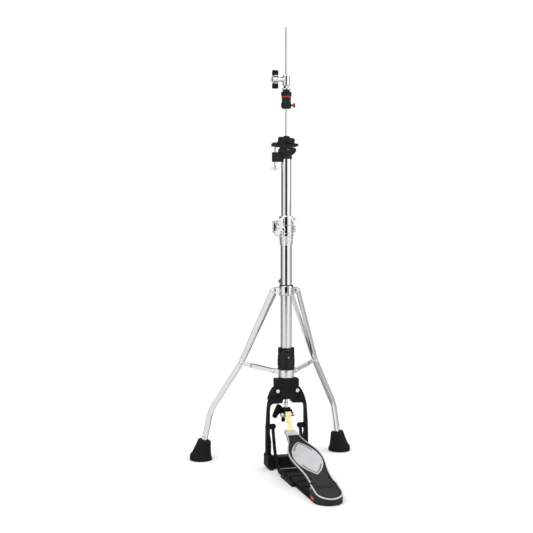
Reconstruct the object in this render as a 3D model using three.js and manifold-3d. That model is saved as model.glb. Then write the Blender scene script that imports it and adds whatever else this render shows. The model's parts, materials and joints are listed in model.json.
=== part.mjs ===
// A two-legged hi-hat stand: a height-adjustable column with a cymbal seat and clutch, a pair of
// double-strap legs on sliding collars, and a forked foot frame with a strap-driven footboard.
// Millimetres, +Z up. The origin is on the floor under the column's axis, on the underside of the
// foot frame. The player sits on the -Y side, so the footboard runs towards -Y.
import * as THREE from "three";
import { mergeVertices } from "three/addons/utils/BufferGeometryUtils.js";
import Module from "manifold-3d";

const wasm = await Module();
wasm.setup();

// ---------------------------------------------------------------- driving dimensions
const GAP = 0.3; // clearance between touching pieces
const FACETS = 24; // sides of the column's round pieces
const TUBE_FACETS = 36; // sides of the two long tubes
const SMALL_FACETS = 12; // sides of small round pieces

const TUBE = {
  lowerR: 14.3,
  upperR: 12.7,
  wall: 1.3,
  bottom: 206.5, // lower tube, from its foot in the frame ...
  joint: 600, // ... to its mouth
  inside: 430, // upper tube, from inside the lower one ...
  top: 790, // ... to the cymbal seat
};
const ROD = { r: 3, top: 1120, coupler: [400, 430], end: 176 };
const LEG = {
  turn: 35.2, // degrees each leg is swung back from the X axis
  hinge: [32, 452], // radius and height of the top hinge
  joint: [123, 261], // where the brace meets the straps
  bend: [208, 132],
  ankle: [226, 53],
  width: 12.5, // strap width
  depth: 6, // channel depth
  wall: 1.5,
  spread: 10.5, // inner face of a strap at the hinge, from the leg's middle plane
  close: 1.3, // the same at the brace joint and below
};
const BRACE = { pivot: [33, 245], width: 11, thick: 2, neck: 27 };
const FOOT = { topR: 17, baseR: 30, tilt: 12.6 };
const COLLAR = { upper: [440, 464], lower: [231, 251], upperR: 18.2, lowerR: 20.4, screwZ: 457.5 };
const FRAME = {
  inner: 46.5, // half the gap between the posts
  front: -14, // the casting's faces
  rear: 12,
  baseTop: 38,
  barTop: 30,
  castTop: 206,
  shoulder: 150, // where the casting's arms meet the posts
  crown: 168,
  boltX: 26,
  boltZ: 198,
};
const PEDAL = {
  slope: 14.57, // degrees of the footboard's rise from heel to toe
  heel: [-297, 33], // Y and Z of the board's top surface at its heel end
  length: 246, // board, heel end to toe plate
  toe: 277, // heel end to the tip of the toe plate
  thick: 8,
  pin: [-300, 26], // the heel hinge
  pivot: [-3, 107], // where the side arms turn in the posts
};
const BADGE = { half: 34, reach: 80.5, middle: 126.5 };
const STRAP = { toe: [-38, 102.4], pin: [-15, 138], half: 7.75, loopR: 7.2 };
const SEAT = { z: 832, r: 21.5, tilt: 7, screw: [-29.5, -1] };
const CLUTCH = { clamp: [972, 999], screwZ: 987, knobZ: 923 };
const SCREW_R = 3; // shank radius of the wing screws and of the strap bolt

// ---------------------------------------------------------------- finishes
const finish = (color, roughness, metalness) =>
  new THREE.MeshStandardMaterial({ color, roughness, metalness });
const chrome = finish(0xd8dadc, 0.12, 1);
const darkChrome = finish(0x8d9092, 0.25, 1);
const castBlack = finish(0x161a17, 0.55, 0.3);
const plasticBlack = finish(0x1c1f1e, 0.5, 0);
const rubber = finish(0x141614, 0.85, 0);
const silver = finish(0xb9bcbe, 0.35, 0.9);
const strapCream = finish(0xe6d9a2, 0.7, 0);
const red = finish(0xb23a34, 0.4, 0);
const felt = finish(0x232323, 1, 0);
const steel = finish(0x9a9a96, 0.35, 1);

// ---------------------------------------------------------------- solids
// A closed three.js geometry as a solid, with its faces turned outwards.
function solid(geometry) {
  const bare = geometry.clone();
  bare.deleteAttribute("normal");
  bare.deleteAttribute("uv");
  const merged = mergeVertices(bare, 1e-3);
  const triVerts = new Uint32Array(merged.index.array);
  const vertProperties = new Float32Array(merged.attributes.position.array);
  const made = new wasm.Manifold(new wasm.Mesh({ numProp: 3, vertProperties, triVerts }));
  if (made.volume() >= 0) return made;
  for (let i = 0; i < triVerts.length; i += 3) {
    [triVerts[i + 1], triVerts[i + 2]] = [triVerts[i + 2], triVerts[i + 1]];
  }
  return new wasm.Manifold(new wasm.Mesh({ numProp: 3, vertProperties, triVerts }));
}

// A solid's surface as a three.js geometry.
function surface(made) {
  const mesh = made.getMesh();
  const geometry = new THREE.BufferGeometry();
  geometry.setAttribute("position", new THREE.BufferAttribute(mesh.vertProperties, 3));
  geometry.setIndex(new THREE.BufferAttribute(mesh.triVerts, 1));
  geometry.computeVertexNormals();
  return geometry;
}

const join = (...solids) => solids.reduce((a, b) => a.add(b));
const cut = (body, ...tools) => tools.reduce((a, b) => a.subtract(b), body);

// A solid of revolution about Z from [radius, height] points; a profile off the axis closes on itself.
function turned(points, facets = FACETS) {
  const outline = points.map(([r, z]) => new THREE.Vector2(r, z));
  if (points[0][0] > 0) outline.push(outline[0].clone());
  return solid(new THREE.LatheGeometry(outline, facets).rotateX(Math.PI / 2));
}

const ring = (r0, r1, z0, z1, facets) =>
  turned([[r0, z0], [r1, z0], [r1, z1], [r0, z1]], facets);
const disc = (r, z0, z1, facets) => turned([[0, z0], [r, z0], [r, z1], [0, z1]], facets);

const block = ([x0, x1], [y0, y1], [z0, z1]) =>
  solid(
    new THREE.BoxGeometry(x1 - x0, y1 - y0, z1 - z0).translate(
      (x0 + x1) / 2,
      (y0 + y1) / 2,
      (z0 + z1) / 2,
    ),
  );

// A round bar along X or Y, from a to b, through the given point of the other two axes.
function bar(axis, r, a, b, [p, q], facets = SMALL_FACETS) {
  const rod = new THREE.CylinderGeometry(r, r, b - a, facets);
  if (axis === "x") return solid(rod.rotateZ(-Math.PI / 2).translate((a + b) / 2, p, q));
  return solid(rod.translate(p, (a + b) / 2, q));
}

const shapeOf = (points) => new THREE.Shape(points.map(([x, y]) => new THREE.Vector2(x, y)));

// An outline extruded along one axis between two stations. The outline's own axes are XY for "z",
// YZ for "x" and XZ for "y".
function slab(axis, outline, from, to) {
  const shape = outline instanceof THREE.Shape ? outline : shapeOf(outline);
  const depth = to - from;
  const made = new THREE.ExtrudeGeometry(shape, { depth, bevelEnabled: false, curveSegments: 8 });
  const turn = new THREE.Matrix4();
  if (axis === "x") {
    turn.makeBasis(
      new THREE.Vector3(0, 1, 0),
      new THREE.Vector3(0, 0, 1),
      new THREE.Vector3(1, 0, 0),
    );
    return solid(made.applyMatrix4(turn).translate(from, 0, 0));
  }
  if (axis === "y") {
    turn.makeBasis(
      new THREE.Vector3(1, 0, 0),
      new THREE.Vector3(0, 0, 1),
      new THREE.Vector3(0, -1, 0),
    );
    return solid(made.applyMatrix4(turn).translate(0, to, 0));
  }
  return solid(made.translate(0, 0, from));
}

// Points of an arc about a centre, in degrees.
function arc([x, y], r, from, to, steps = 6) {
  const points = [];
  for (let i = 0; i <= steps; i++) {
    const angle = THREE.MathUtils.degToRad(from + ((to - from) * i) / steps);
    points.push([x + r * Math.cos(angle), y + r * Math.sin(angle)]);
  }
  return points;
}

// A band of constant width along a polyline, with a round end at its start or its end.
function band(line, width, roundStart, roundEnd) {
  const half = width / 2;
  const left = [];
  const right = [];
  line.forEach((point, i) => {
    const before = line[Math.max(i - 1, 0)];
    const after = line[Math.min(i + 1, line.length - 1)];
    const inAngle = Math.atan2(point[1] - before[1], point[0] - before[0]);
    const outAngle = Math.atan2(after[1] - point[1], after[0] - point[0]);
    const a = i === 0 ? outAngle : inAngle;
    const b = i === line.length - 1 ? inAngle : outAngle;
    const mid = (a + b) / 2;
    const reach = half / Math.cos((b - a) / 2);
    const side = [-Math.sin(mid) * reach, Math.cos(mid) * reach];
    left.push([point[0] + side[0], point[1] + side[1]]);
    right.unshift([point[0] - side[0], point[1] - side[1]]);
    if (i === 0 && roundStart) {
      const degrees = THREE.MathUtils.radToDeg(a);
      left.unshift(...arc(point, half, degrees + 270, degrees + 90).slice(1, -1));
    }
    if (i === line.length - 1 && roundEnd) {
      const degrees = THREE.MathUtils.radToDeg(a);
      left.push(...arc(point, half, degrees + 90, degrees - 90).slice(1, -1));
    }
  });
  return [...left, ...right];
}

// ---------------------------------------------------------------- assembly
const stand = new THREE.Group();

function piece(name, body, material, parent = stand) {
  const mesh = new THREE.Mesh(surface(body), material);
  mesh.name = name;
  parent.add(mesh);
  return mesh;
}

function group(parent, [x, y, z], { turnX = 0, turnY = 0, turnZ = 0 } = {}) {
  const made = new THREE.Group();
  const rad = THREE.MathUtils.degToRad;
  made.position.set(x, y, z);
  made.rotation.set(rad(turnX), rad(turnY), rad(turnZ));
  parent.add(made);
  return made;
}

// A wing screw along local +Z: a threaded shank below z = 0, a hub above it and two rounded wings.
function wingScrew({ shank, hub, hubR, span, wing }) {
  const lobe = wing * 1.15;
  const outline = shapeOf([
    [-wing / 2, hubR * 0.3],
    ...arc([0, span - lobe], lobe, 200, -20, 8),
    [wing / 2, hubR * 0.3],
  ]);
  const blade = new THREE.ExtrudeGeometry(outline, {
    depth: wing * 0.7,
    bevelEnabled: false,
    curveSegments: 8,
  });
  const lift = hub - wing * 0.75;
  const up = solid(blade.clone().translate(0, 0, lift));
  const down = solid(blade.clone().rotateZ(Math.PI).translate(0, 0, lift));
  const profile = [
    [0, -shank], [SCREW_R, -shank], [SCREW_R, 0], [hubR, 0], [hubR, hub * 0.6], [hubR * 0.7, hub], [0, hub],
  ];
  const core = turned(profile, SMALL_FACETS);
  return join(core, up, down);
}

// ---------------------------------------------------------------- column
function makeLowerTube() {
  const { lowerR, wall, bottom, joint } = TUBE;
  const slot = block([-2.5, 2.5], [-20, 20], [280, 306]);
  piece("lower_tube", cut(ring(lowerR - wall, lowerR, bottom, joint, TUBE_FACETS), slot), chrome);
}

function makeUpperTube() {
  const { upperR, wall, inside, top } = TUBE;
  piece("upper_tube", ring(upperR - wall, upperR, inside, top, TUBE_FACETS), chrome);
}

// The clamp at the mouth of the lower tube: a cone, two bands and a pair of ears on the left.
function makeTubeClamp() {
  const bore = TUBE.lowerR + GAP;
  const shell = turned([
    [bore, 568], [15.6, 568], [16.2, 572], [17.6, 590], [18.6, 592], [18.6, 597], [17.8, 598],
    [18.2, 600], [18.2, 618], [17.6, 619], [18.4, 620], [18.4, 626], [bore, 626],
  ]);
  const ears = slab("z", [[-33, -13], [-12, -13], [-12, -4], [-33, -4]], 604, 624);
  const farEar = slab("z", [[-33, 0], [-12, 0], [-12, 6], [-33, 6]], 604, 624);
  const slit = block([-36, -10], [-4, 0], [600, 630]);
  const bolt = bar("y", SCREW_R + GAP, -20, 20, [-27, 614]);
  const throat = disc(bore, 560, 640);
  const hinge = turned(
    [[0, 600], [3.6, 600], [3.6, 602], [4.4, 602], [4.4, 616], [3.6, 616], [3.6, 618], [0, 618]],
    SMALL_FACETS,
  ).translate([20.5, -2, 0]);
  const body = cut(join(shell, ears, farEar, hinge), slit, bolt, throat);
  piece("tube_clamp", body, chrome);
  piece("tube_bushing", ring(TUBE.upperR + GAP, TUBE.lowerR, TUBE.joint + GAP, 626), plasticBlack);

  const screw = group(stand, [-27, -13 - GAP, 614], { turnX: 90, turnY: 0 });
  const tilt = group(screw, [0, 0, 0], { turnZ: -12 });
  const shape = { shank: 18.5, hub: 13, hubR: 6, span: 23.5, wing: 8 };
  piece("clamp_wing_screw", wingScrew(shape), chrome, tilt);
}

function makeMemoryLock() {
  const bore = TUBE.upperR + GAP;
  const collar = turned([
    [bore, 626 + GAP], [17.2, 626 + GAP], [18.2, 627.5], [18.2, 640], [17.4, 642], [bore, 642],
  ]);
  const ears = block([8, 22.5], [-14.5, -6.5], [629, 640]);
  const farEar = block([8, 22.5], [-4.5, 1.5], [629, 640]);
  const slit = block([8, 26], [-6.5, -4.5], [620, 650]);
  const head = bar("y", 3.4, -17.5, -13, [19, 634.5]);
  const key = block([17.9, 20.1], [-19, -16.3], [633.4, 635.6]);
  const body = cut(join(collar, ears, farEar, head), disc(bore, 620, 650), slit, key);
  piece("memory_lock", body, chrome);
}

// ---------------------------------------------------------------- cymbal seat
function makeSeat() {
  const bore = TUBE.upperR + GAP;
  const neck = turned([[0, 786], [14.6, 786], [14.6, 800], [16.5, 806], [16.5, 822], [0, 822]]);
  const cheeks = slab(
    "y",
    [[-18, 800], [14.5, 796], [22, 806], [22, 812], [17, 815], [-14, 815], [-18, 806]],
    -14,
    14,
  );
  const boss = block([-36, -14], [-9, 7], [779, 803]);
  const dish = bar("y", SEAT.r + 1.2, -30, 30, [0, SEAT.z], 40);
  const socket = disc(bore, 770, TUBE.top + GAP);
  const rodWay = disc(7.5, 770, 850, SMALL_FACETS);
  const screwWay = disc(SCREW_R + GAP, 760, 830, SMALL_FACETS).translate([...SEAT.screw, 0]);
  piece("seat_housing", cut(join(neck, cheeks, boss), dish, socket, rodWay, screwWay), plasticBlack);

  const tilting = group(stand, [0, 0, SEAT.z], { turnY: SEAT.tilt });
  const r = SEAT.r;
  const dome = cut(bar("y", r, -13, 13, [0, 0], 40), block([-40, 40], [-20, 20], [-4, 40]));
  const cup = turned([
    [0, -6], [r - 3, -6], [r, -4], [r, 9], [r - 1.6, 10.5], [r - 2.2, 10.5], [r - 2.2, 5.5], [0, 5.5],
  ]);
  const tongue = slab("y", [[-36, -19], [-18, -19], [-14, -8], [-34, -8], [-38, -12]], -8, 6);
  const lug = slab("y", [[20.5, -13], [26, -11.5], [31, -8], [30, -3], [20, -3]], -10, 10);
  const way = turned([[0, -40], [9, -40], [9, -20], [5.4, 0], [5.4, 20], [0, 20]], SMALL_FACETS);
  const bushing = disc(6.6, 0, 12.5, SMALL_FACETS);
  piece("seat_cup", cut(join(dome, cup, tongue, lug, bushing), way), plasticBlack, tilting);
  piece("seat_felt", ring(7, r - 2.5, 5.8, 10), felt, tilting);

  const screw = group(stand, [...SEAT.screw, 0]);
  const stem = turned(
    [[0, 758], [3.6, 758], [4.4, 760], [4.4, 766], [2.6, 768], [2.6, 814], [1.6, 816], [0, 816]],
    SMALL_FACETS,
  );
  const handle = block([-7, 7], [-1.8, 1.8], [759, 765]);
  piece("tilt_screw", join(stem, handle), steel, screw);
}

// ---------------------------------------------------------------- pull rod and clutch
function makeRod() {
  const { r, top, coupler, end } = ROD;
  const [c0, c1] = coupler;
  const upper = turned([[0, c0 + 4], [r, c0 + 4], [r, top - 1.5], [r - 1.5, top], [0, top]], SMALL_FACETS);
  piece("pull_rod_upper", join(upper, disc(2 * r, c0, c1, 6)), chrome);
  piece("pull_rod_lower", disc(r, end, c0 - GAP, SMALL_FACETS), steel);
}

// The compression spring round the lower rod, as a plain sleeve of its outer shape.
function makeSpring() {
  piece("return_spring", ring(7, 10.5, 287, ROD.coupler[0] - 0.5, SMALL_FACETS), steel);
}

function makeClutch() {
  const hole = ROD.r + GAP;
  const [z0, z1] = CLUTCH.clamp;
  const { screwZ, knobZ } = CLUTCH;
  const barrel = turned([[0, z0], [8.6, z0], [9.4, z0 + 1.5], [9.4, z1 - 1.5], [8.6, z1], [0, z1]]);
  const arm = bar("x", 5.6, -17, -4, [0, screwZ]);
  const way = disc(hole, 900, 1010, SMALL_FACETS);
  const threaded = bar("x", SCREW_R + GAP, -20, 0, [0, screwZ]);
  piece("clutch_clamp", cut(join(barrel, arm), way, threaded), chrome);

  const screw = group(stand, [-17 - GAP, 0, screwZ], { turnY: -90 });
  const hub = turned([
    [0, -12], [SCREW_R, -12], [SCREW_R, 0], [5.5, 0], [6.5, 4], [9.3, 5], [9.3, 18], [8, 20], [0, 20],
  ]);
  const arms = block([-17, 17], [-4, 4], [7, 17]);
  piece("clutch_wing_screw", join(hub, arms), chrome, screw);
  const room = block([-17 - GAP, 17 + GAP], [-4 - GAP, 4 + GAP], [7 - GAP, 17 + GAP]);
  for (const [name, turnZ] of [["top", 0], ["low", 180]]) {
    const outline = [[9.8, 6.5], [9.8, -6.5], ...arc([17, 0], 6.5, -90, 90, 8)];
    const tip = slab("z", outline, 5.2, 18.8).rotate([0, 0, turnZ]);
    piece(`clutch_wing_tip_${name}`, cut(tip, room), rubber, screw);
  }

  const flange = turned([[0, 960 + GAP], [9, 960 + GAP], [11.2, 962], [11.2, 965], [10, 966], [0, 966]]);
  piece("clutch_nut", cut(join(flange, disc(6.4, 965, z0 - GAP, 6)), way), chrome);

  const upper = turned([
    [hole, 946], [11, 946], [12.2, 951], [13.5, 952], [13.5, 955], [12, 956.5], [9.2, 957], [9.2, 960],
    [hole, 960],
  ]);
  piece("clutch_upper_body", join(upper, ring(hole, 5.6, 915, 950)), plasticBlack);
  piece("clutch_ring", ring(6, 11.9, 941.5, 946 - GAP), red);
  const lower = turned([
    [6, 914], [11, 914], [12.6, 916], [13.5, 920], [13.5, 927], [11.4, 933], [11.2, 941], [6, 941],
  ]);
  const knobWay = bar("x", 2.8, 6, 20, [0, knobZ]);
  piece("clutch_lower_body", cut(lower, knobWay), plasticBlack);
  const knob = group(stand, [0, 0, knobZ], { turnY: 90 });
  const profile = [[0, 9.5], [2.4, 9.5], [2.4, 16.5], [3.4, 17], [6.3, 20], [6.3, 22.5], [0, 22.5]];
  piece("clutch_release_knob", turned(profile, SMALL_FACETS), red, knob);
}

// ---------------------------------------------------------------- spring tension sleeve
function makeTensionSleeve() {
  const bore = TUBE.lowerR + GAP;
  const [z0, z1] = [COLLAR.lower[1] + GAP, 307];
  let sleeve = turned([
    [bore, z0], [21, z0], [21.8, z0 + 1.5], [21.8, 287], [20.9, 289], [20.9, z1], [bore, z1],
  ]);
  // Two flights of notches, half a turn apart, each notch less deep than the one before it.
  const steps = 4;
  for (const flight of [0, 180]) {
    for (let i = 0; i < steps; i++) {
      const notch = block([-4.1, 4.1], [-24, -12], [281 + i * 6, 321 + i * 6]);
      sleeve = sleeve.subtract(notch.rotate([0, 0, flight + i * 41]));
    }
  }
  piece("tension_sleeve", sleeve, plasticBlack);
  const crosspin = cut(bar("y", 2, -22.5, 22.5, [0, 283.5]), disc(4, 270, 300, SMALL_FACETS));
  piece("tension_pin", crosspin.add(ring(4, 9.5, 281.5, 286, SMALL_FACETS)), steel);
}

// ---------------------------------------------------------------- legs
const legGroups = { left: 180 - LEG.turn, right: LEG.turn };

// A rivet along X with a head at each end; half is the distance to the heads' inner faces.
function pinWithHeads(r, headR, half, headThick, [p, q]) {
  const shaft = bar("x", r, -half - headThick, half + headThick, [p, q]);
  const heads = [-1, 1].map((s) =>
    bar("x", headR, s > 0 ? half : -half - headThick, s > 0 ? half + headThick : -half, [p, q]),
  );
  return join(shaft, ...heads);
}

function makeCollars() {
  const bore = TUBE.lowerR + GAP;
  const lug = (reach, half, z, round) =>
    slab("x", band([[0, 0], [reach, 0]], round * 2, false, true), -half, half).translate([0, 0, z]);
  const [u0, u1] = COLLAR.upper;
  const [l0, l1] = COLLAR.lower;
  // A collar with its two outer edges chamfered.
  const collar = (r, z0, z1, edge) =>
    turned([[bore, z0], [r - 0.8, z0], [r, z0 + edge], [r, z1 - edge], [r - 0.8, z1], [bore, z1]]);
  let upper = collar(COLLAR.upperR, u0, u1, 2);
  let lower = collar(COLLAR.lowerR, l0, l1, 1);
  for (const angle of Object.values(legGroups)) {
    const along = angle - 90;
    const [hr, hz] = LEG.hinge;
    const upperLug = lug(hr, LEG.spread - 3 * GAP, hz, 8);
    const hingePin = pinWithHeads(2, 4, LEG.spread + LEG.depth + GAP, 1.6, LEG.hinge);
    upper = upper.add(join(upperLug, hingePin).rotate([0, 0, along]));
    const [br, bz] = BRACE.pivot;
    const clevis = cut(lug(br, 8.3, bz, 6), block([-5.2, 5.2], [br - 8, 60], [200, 300]));
    const bracePin = pinWithHeads(2, 3.6, 8.3 - GAP, 1.6, BRACE.pivot);
    lower = lower.add(join(clevis, bracePin).rotate([0, 0, along]));
  }
  const { screwZ } = COLLAR;
  const rearBoss = slab("y", band([[0, u0 + 3], [0, screwZ]], 12.6, false, true), 12, 31);
  const threaded = bar("y", SCREW_R + GAP, 0, 40, [0, screwZ]);
  upper = cut(upper.add(rearBoss), disc(bore, u0 - 5, u1 + 9), threaded);
  lower = lower.subtract(disc(bore, l0 - 5, l1 + 5));
  piece("upper_leg_collar", upper, chrome);
  piece("lower_leg_collar", lower, chrome);
  piece("upper_collar_cap", ring(bore, 17.6, u1 + GAP, u1 + 3, FACETS), plasticBlack);

  const screw = group(stand, [0, 31 + GAP, screwZ], { turnX: -90 });
  const shape = { shank: 13, hub: 14, hubR: 6, span: 24, wing: 8 };
  piece("leg_wing_screw", wingScrew(shape), darkChrome, screw);
}

// One C-section strap of a leg, in the leg's own frame: X outwards, Z up. side is -1 or 1.
function strapSolid(side) {
  const { hinge, joint, bend, ankle, width, depth, wall, spread, close } = LEG;
  const ahead = (a, b, t) => [a[0] + (b[0] - a[0]) * t, a[1] + (b[1] - a[1]) * t];
  const tip = [ankle[0] + 12 * Math.tan(THREE.MathUtils.degToRad(FOOT.tilt)), ankle[1] - 12];
  const line = [hinge, joint, ahead(bend, joint, 0.12), ahead(bend, ankle, 0.18), ankle, tip];
  const lean = (z) => {
    const t = Math.min(Math.max((z - joint[1]) / (hinge[1] - joint[1]), 0), 1);
    return side * (close + (spread - close) * t);
  };
  // The band is drawn in the leg's plane and leans outwards from the brace joint to the hinge.
  const channel = (w, from, to, rounded) => {
    const flat = new THREE.ExtrudeGeometry(shapeOf(band(line, w, rounded, false)), {
      depth: to - from,
      bevelEnabled: false,
    });
    const at = flat.attributes.position;
    for (let i = 0; i < at.count; i++) {
      const [x, z, y] = [at.getX(i), at.getY(i), at.getZ(i)];
      at.setXYZ(i, x, side * (y + from) + lean(z), z);
    }
    return solid(flat);
  };
  const outer = channel(width, 0, depth, true);
  const hollow = channel(width - 2 * wall, -2, depth - wall, true);
  const rivet = ([x, z]) => bar("y", 3.4, -1, 1, [x, z]);
  const face = side * (close + depth);
  const heads = [joint, ahead(ankle, bend, 0.12)].map((at) =>
    rivet(at).translate([0, face + side * 0.5, 0]),
  );
  const hole = bar("y", 2 + GAP, -40, 40, hinge);
  return cut(join(cut(outer, hollow), ...heads), hole);
}

function makeLeg(name) {
  const leg = group(stand, [0, 0, 0], { turnZ: legGroups[name] });
  piece(`leg_${name}_strap_front`, strapSolid(name === "left" ? 1 : -1), chrome, leg);
  piece(`leg_${name}_strap_rear`, strapSolid(name === "left" ? -1 : 1), chrome, leg);

  // The brace: a channel that thins to a flat neck between the straps.
  const { width: high, thick, neck } = BRACE;
  const [bx, bz] = BRACE.pivot;
  const [jx, jz] = LEG.joint;
  const span = Math.hypot(jx - bx, jz - bz);
  const rise = THREE.MathUtils.radToDeg(Math.atan2(jz - bz, jx - bx));
  const armGroup = group(leg, [bx, 0, bz], { turnY: -rise });
  const plate = slab("y", band([[0, 0], [span, 0]], high, true, true), -thick / 2, thick / 2);
  const channel = slab("y", band([[0, 0], [span - neck, 0]], high, true, false), -4.8, 4.8);
  const hollow = slab("y", band([[9, -2], [span - neck + 3, -2]], high, false, false), -3.3, 3.3);
  const hole = bar("y", 2 + GAP, -20, 20, [0, 0]);
  piece(`brace_${name}`, cut(join(cut(channel, hollow), plate), hole), chrome, armGroup);

  // The rubber foot leans with the ankle and is cut flat at the floor.
  const foot = group(leg, [LEG.ankle[0], 0, LEG.ankle[1]]);
  const lean = THREE.MathUtils.degToRad(FOOT.tilt);
  const low = -LEG.ankle[1] / Math.cos(lean);
  const profile = new THREE.LatheGeometry(
    [
      [0, low - 8], [FOOT.baseR - 3, low - 8], [FOOT.baseR - 1, low + 3], [FOOT.baseR, low + 7],
      [FOOT.baseR - 3, low + 13], [FOOT.topR + 1, -4], [FOOT.topR - 1, 0], [0, 0],
    ].map(([r, z]) => new THREE.Vector2(r, z)),
    FACETS,
  );
  profile.rotateX(Math.PI / 2).rotateY(-lean);
  const pocket = new THREE.BoxGeometry(15, 17, 40).translate(0, 0, 5).rotateY(-lean);
  const floor = block([-80, 90], [-80, 80], [-LEG.ankle[1] - 40, -LEG.ankle[1]]);
  piece(`foot_${name}`, cut(solid(profile), solid(pocket), floor), rubber, foot);
}

// ---------------------------------------------------------------- foot frame
function makeFrame() {
  const { inner, front, rear, baseTop, barTop, castTop, shoulder, crown, boltX, boltZ } = FRAME;
  const bore = TUBE.lowerR + GAP;
  const plan = [[-24, -17], [26, -17], [31, -12], [31, 14], [26, 17], [-27, 17], [-31, 12], [-31, -10]];
  const cap = slab("z", plan, castTop + GAP, 228);
  const neck = disc(17.2, 220, COLLAR.lower[0] - GAP);
  piece("yoke_cap", cut(join(cap, neck), disc(bore, 200, 240)), castBlack);

  // One side of the casting's outline; the other is its mirror image.
  const flank = new THREE.QuadraticBezierCurve(
    new THREE.Vector2(33.5, castTop),
    new THREE.Vector2(49.5, 184),
    new THREE.Vector2(52, shoulder),
  );
  const half = [
    ...flank.getPoints(8).map((p) => [p.x, p.y]),
    [inner, shoulder], [inner - 2, crown - 2], [14, crown - 1], [11, 176], [6, 179],
  ];
  const mirrored = half.map(([x, z]) => [-x, z]).reverse();
  const body = slab("y", [...half, ...mirrored], front, rear);
  const pocket = [...arc([0, boltZ], 7.5, 0, 180), ...arc([0, 187], 7.5, 180, 360)];
  const recesses = [-boltX, boltX].flatMap((x) => [
    slab("y", pocket.map(([px, pz]) => [px + x, pz]), front - 2, front + 3.5),
    bar("y", 2.8, front - 6, rear + 8, [x, boltZ]),
  ]);
  // The casting's arms are thinner than its crown.
  const thinArms = [[44, 70], [-70, -44]].map((x) => block(x, [3, 30], [120, 175]));
  const rodWay = disc(5, 150, 240, SMALL_FACETS);
  piece("yoke_casting", cut(body, ...recesses, ...thinArms, rodWay), castBlack);

  for (const [name, s] of [["left", -1], ["right", 1]]) {
    const head = bar("y", 4.8, -15, -10.8, [boltX * s, boltZ]);
    const shank = bar("y", 2.4, -12, 11, [boltX * s, boltZ]);
    const socket = bar("y", 2.2, -17, -12.5, [boltX * s, boltZ], 6);
    piece(`frame_bolt_${name}`, cut(join(head, shank), socket), chrome);

    const outline = [
      [52, shoulder - GAP], [inner, shoulder - GAP], [inner, 92], [43.5, 72], [43.5, baseTop + GAP],
      [55.2, baseTop + GAP], [54.8, 100],
    ].map(([x, z]) => [x * s, z]);
    const hole = bar("x", SCREW_R + GAP, -80, 80, PEDAL.pivot);
    piece(`post_${name}`, cut(slab("y", outline, front, 3), hole), castBlack);
  }

  const foot = [[41, 0], [49, 0], [55.6, 8], [55.6, baseTop - 2], [54, baseTop], [41, baseTop]];
  const ends = [-1, 1].map((s) => slab("y", foot.map(([x, z]) => [x * s, z]), -26, 14));
  const crossbar = block([-42, 42], [-12, 14], [0, barTop]);
  piece("frame_base", join(crossbar, ...ends), castBlack);
}

// ---------------------------------------------------------------- drive
function makeDrive() {
  const hexProfile = [[0, 154], [5.5, 154], [5.5, 166], [4, 168], [4, ROD.end - GAP], [0, ROD.end - GAP]];
  piece("rod_end", turned(hexProfile, 6), chrome);
  const [py, pz] = STRAP.pin;
  const half = STRAP.half + 0.65; // half the width between the bracket's cheeks
  const outerHalf = half + 3;
  const saddle = block([-10, 10], [-6.5, 8], [142, 154 - GAP]);
  const cheeks = [[half, outerHalf], [-outerHalf, -half]].map((x) => block(x, [-20, 6], [133, 150]));
  const bolt = bar("x", SCREW_R + GAP, -40, 40, [py, pz]);
  // The arm that hangs beside the strap, with a round end.
  const armLine = [[-9, 143], [-9, 158], [-20, 163], [-27, 150], ...arc([-27.5, 132], 6.5, 150, 360, 8)];
  const arm = slab("y", armLine, 4.6, 11.6);
  const stop = turned(
    [[0, 116], [4.6, 116], [5, 118], [5, 126], [3, 127], [3, 144], [0, 144]],
    SMALL_FACETS,
  ).translate([-6, 6, 0]);
  piece("drive_bracket", join(cut(join(saddle, ...cheeks), bolt), arm, stop), castBlack);
  const shaft = bar("x", SCREW_R, -17, 13.5, [py, pz]);
  const head = bar("x", 5.6, outerHalf + GAP, 16.5, [py, pz], 6);
  piece("strap_bolt", join(shaft, head), chrome);
  const nut = group(stand, [-outerHalf - GAP, py, pz], { turnY: -90 });
  const hub = turned(
    [[SCREW_R + GAP, 0], [6, 0], [6, 5], [4.6, 8], [SCREW_R + GAP, 8]],
    SMALL_FACETS,
  );
  const ears = [1, -1].map((s) => slab("z", band([[0, 5.4 * s], [2.5, 12.5 * s]], 6, false, true), 2, 5));
  const thread = disc(SCREW_R + GAP, -5, 30, SMALL_FACETS);
  piece("strap_wing_nut", cut(join(hub, ...ears), thread), chrome, nut);
}

// The drive strap, drawn from the toe to a loop round the strap bolt.
function makeStrap() {
  const [ty, tz] = STRAP.toe;
  const [py, pz] = STRAP.pin;
  const lean = THREE.MathUtils.radToDeg(Math.atan2(pz - tz, py - ty));
  const length = Math.hypot(pz - tz, py - ty);
  const flat = group(stand, [0, ty, tz], { turnX: lean });
  const { half, loopR } = STRAP;
  const tongue = block([-half, half], [0, length], [-1.2, 1.3]);
  const loop = bar("x", loopR, -half, half, [length, 0]);
  const eye = bar("x", 4.8, -20, 20, [length, 0]);
  const body = cut(join(tongue, loop), eye);
  piece("strap", body, strapCream, flat);
}

// ---------------------------------------------------------------- pedal
// Half-widths of the footboard against distance from its heel end.
const boardHalf = [
  [2, 30.5], [26, 29.8], [50, 30.6], [76, 33.8], [104, 38.6], [130, 41], [150, 40.2], [171, 36.6], [188, 31.2],
  [205, 25], [222, 20], [246, 16.5],
];

// The footboard's outline between two distances from its heel end, drawn in by inset.
function boardOutline(from, to, inset) {
  const curve = new THREE.SplineCurve(boardHalf.map(([y, x]) => new THREE.Vector2(y, x)));
  const side = curve.getPoints(24).filter((p) => p.x >= from && p.x <= to);
  const right = side.map((p) => [p.y - inset, p.x]);
  const left = right.map(([x, y]) => [-x, y]).reverse();
  return [...right, ...left];
}

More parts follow.
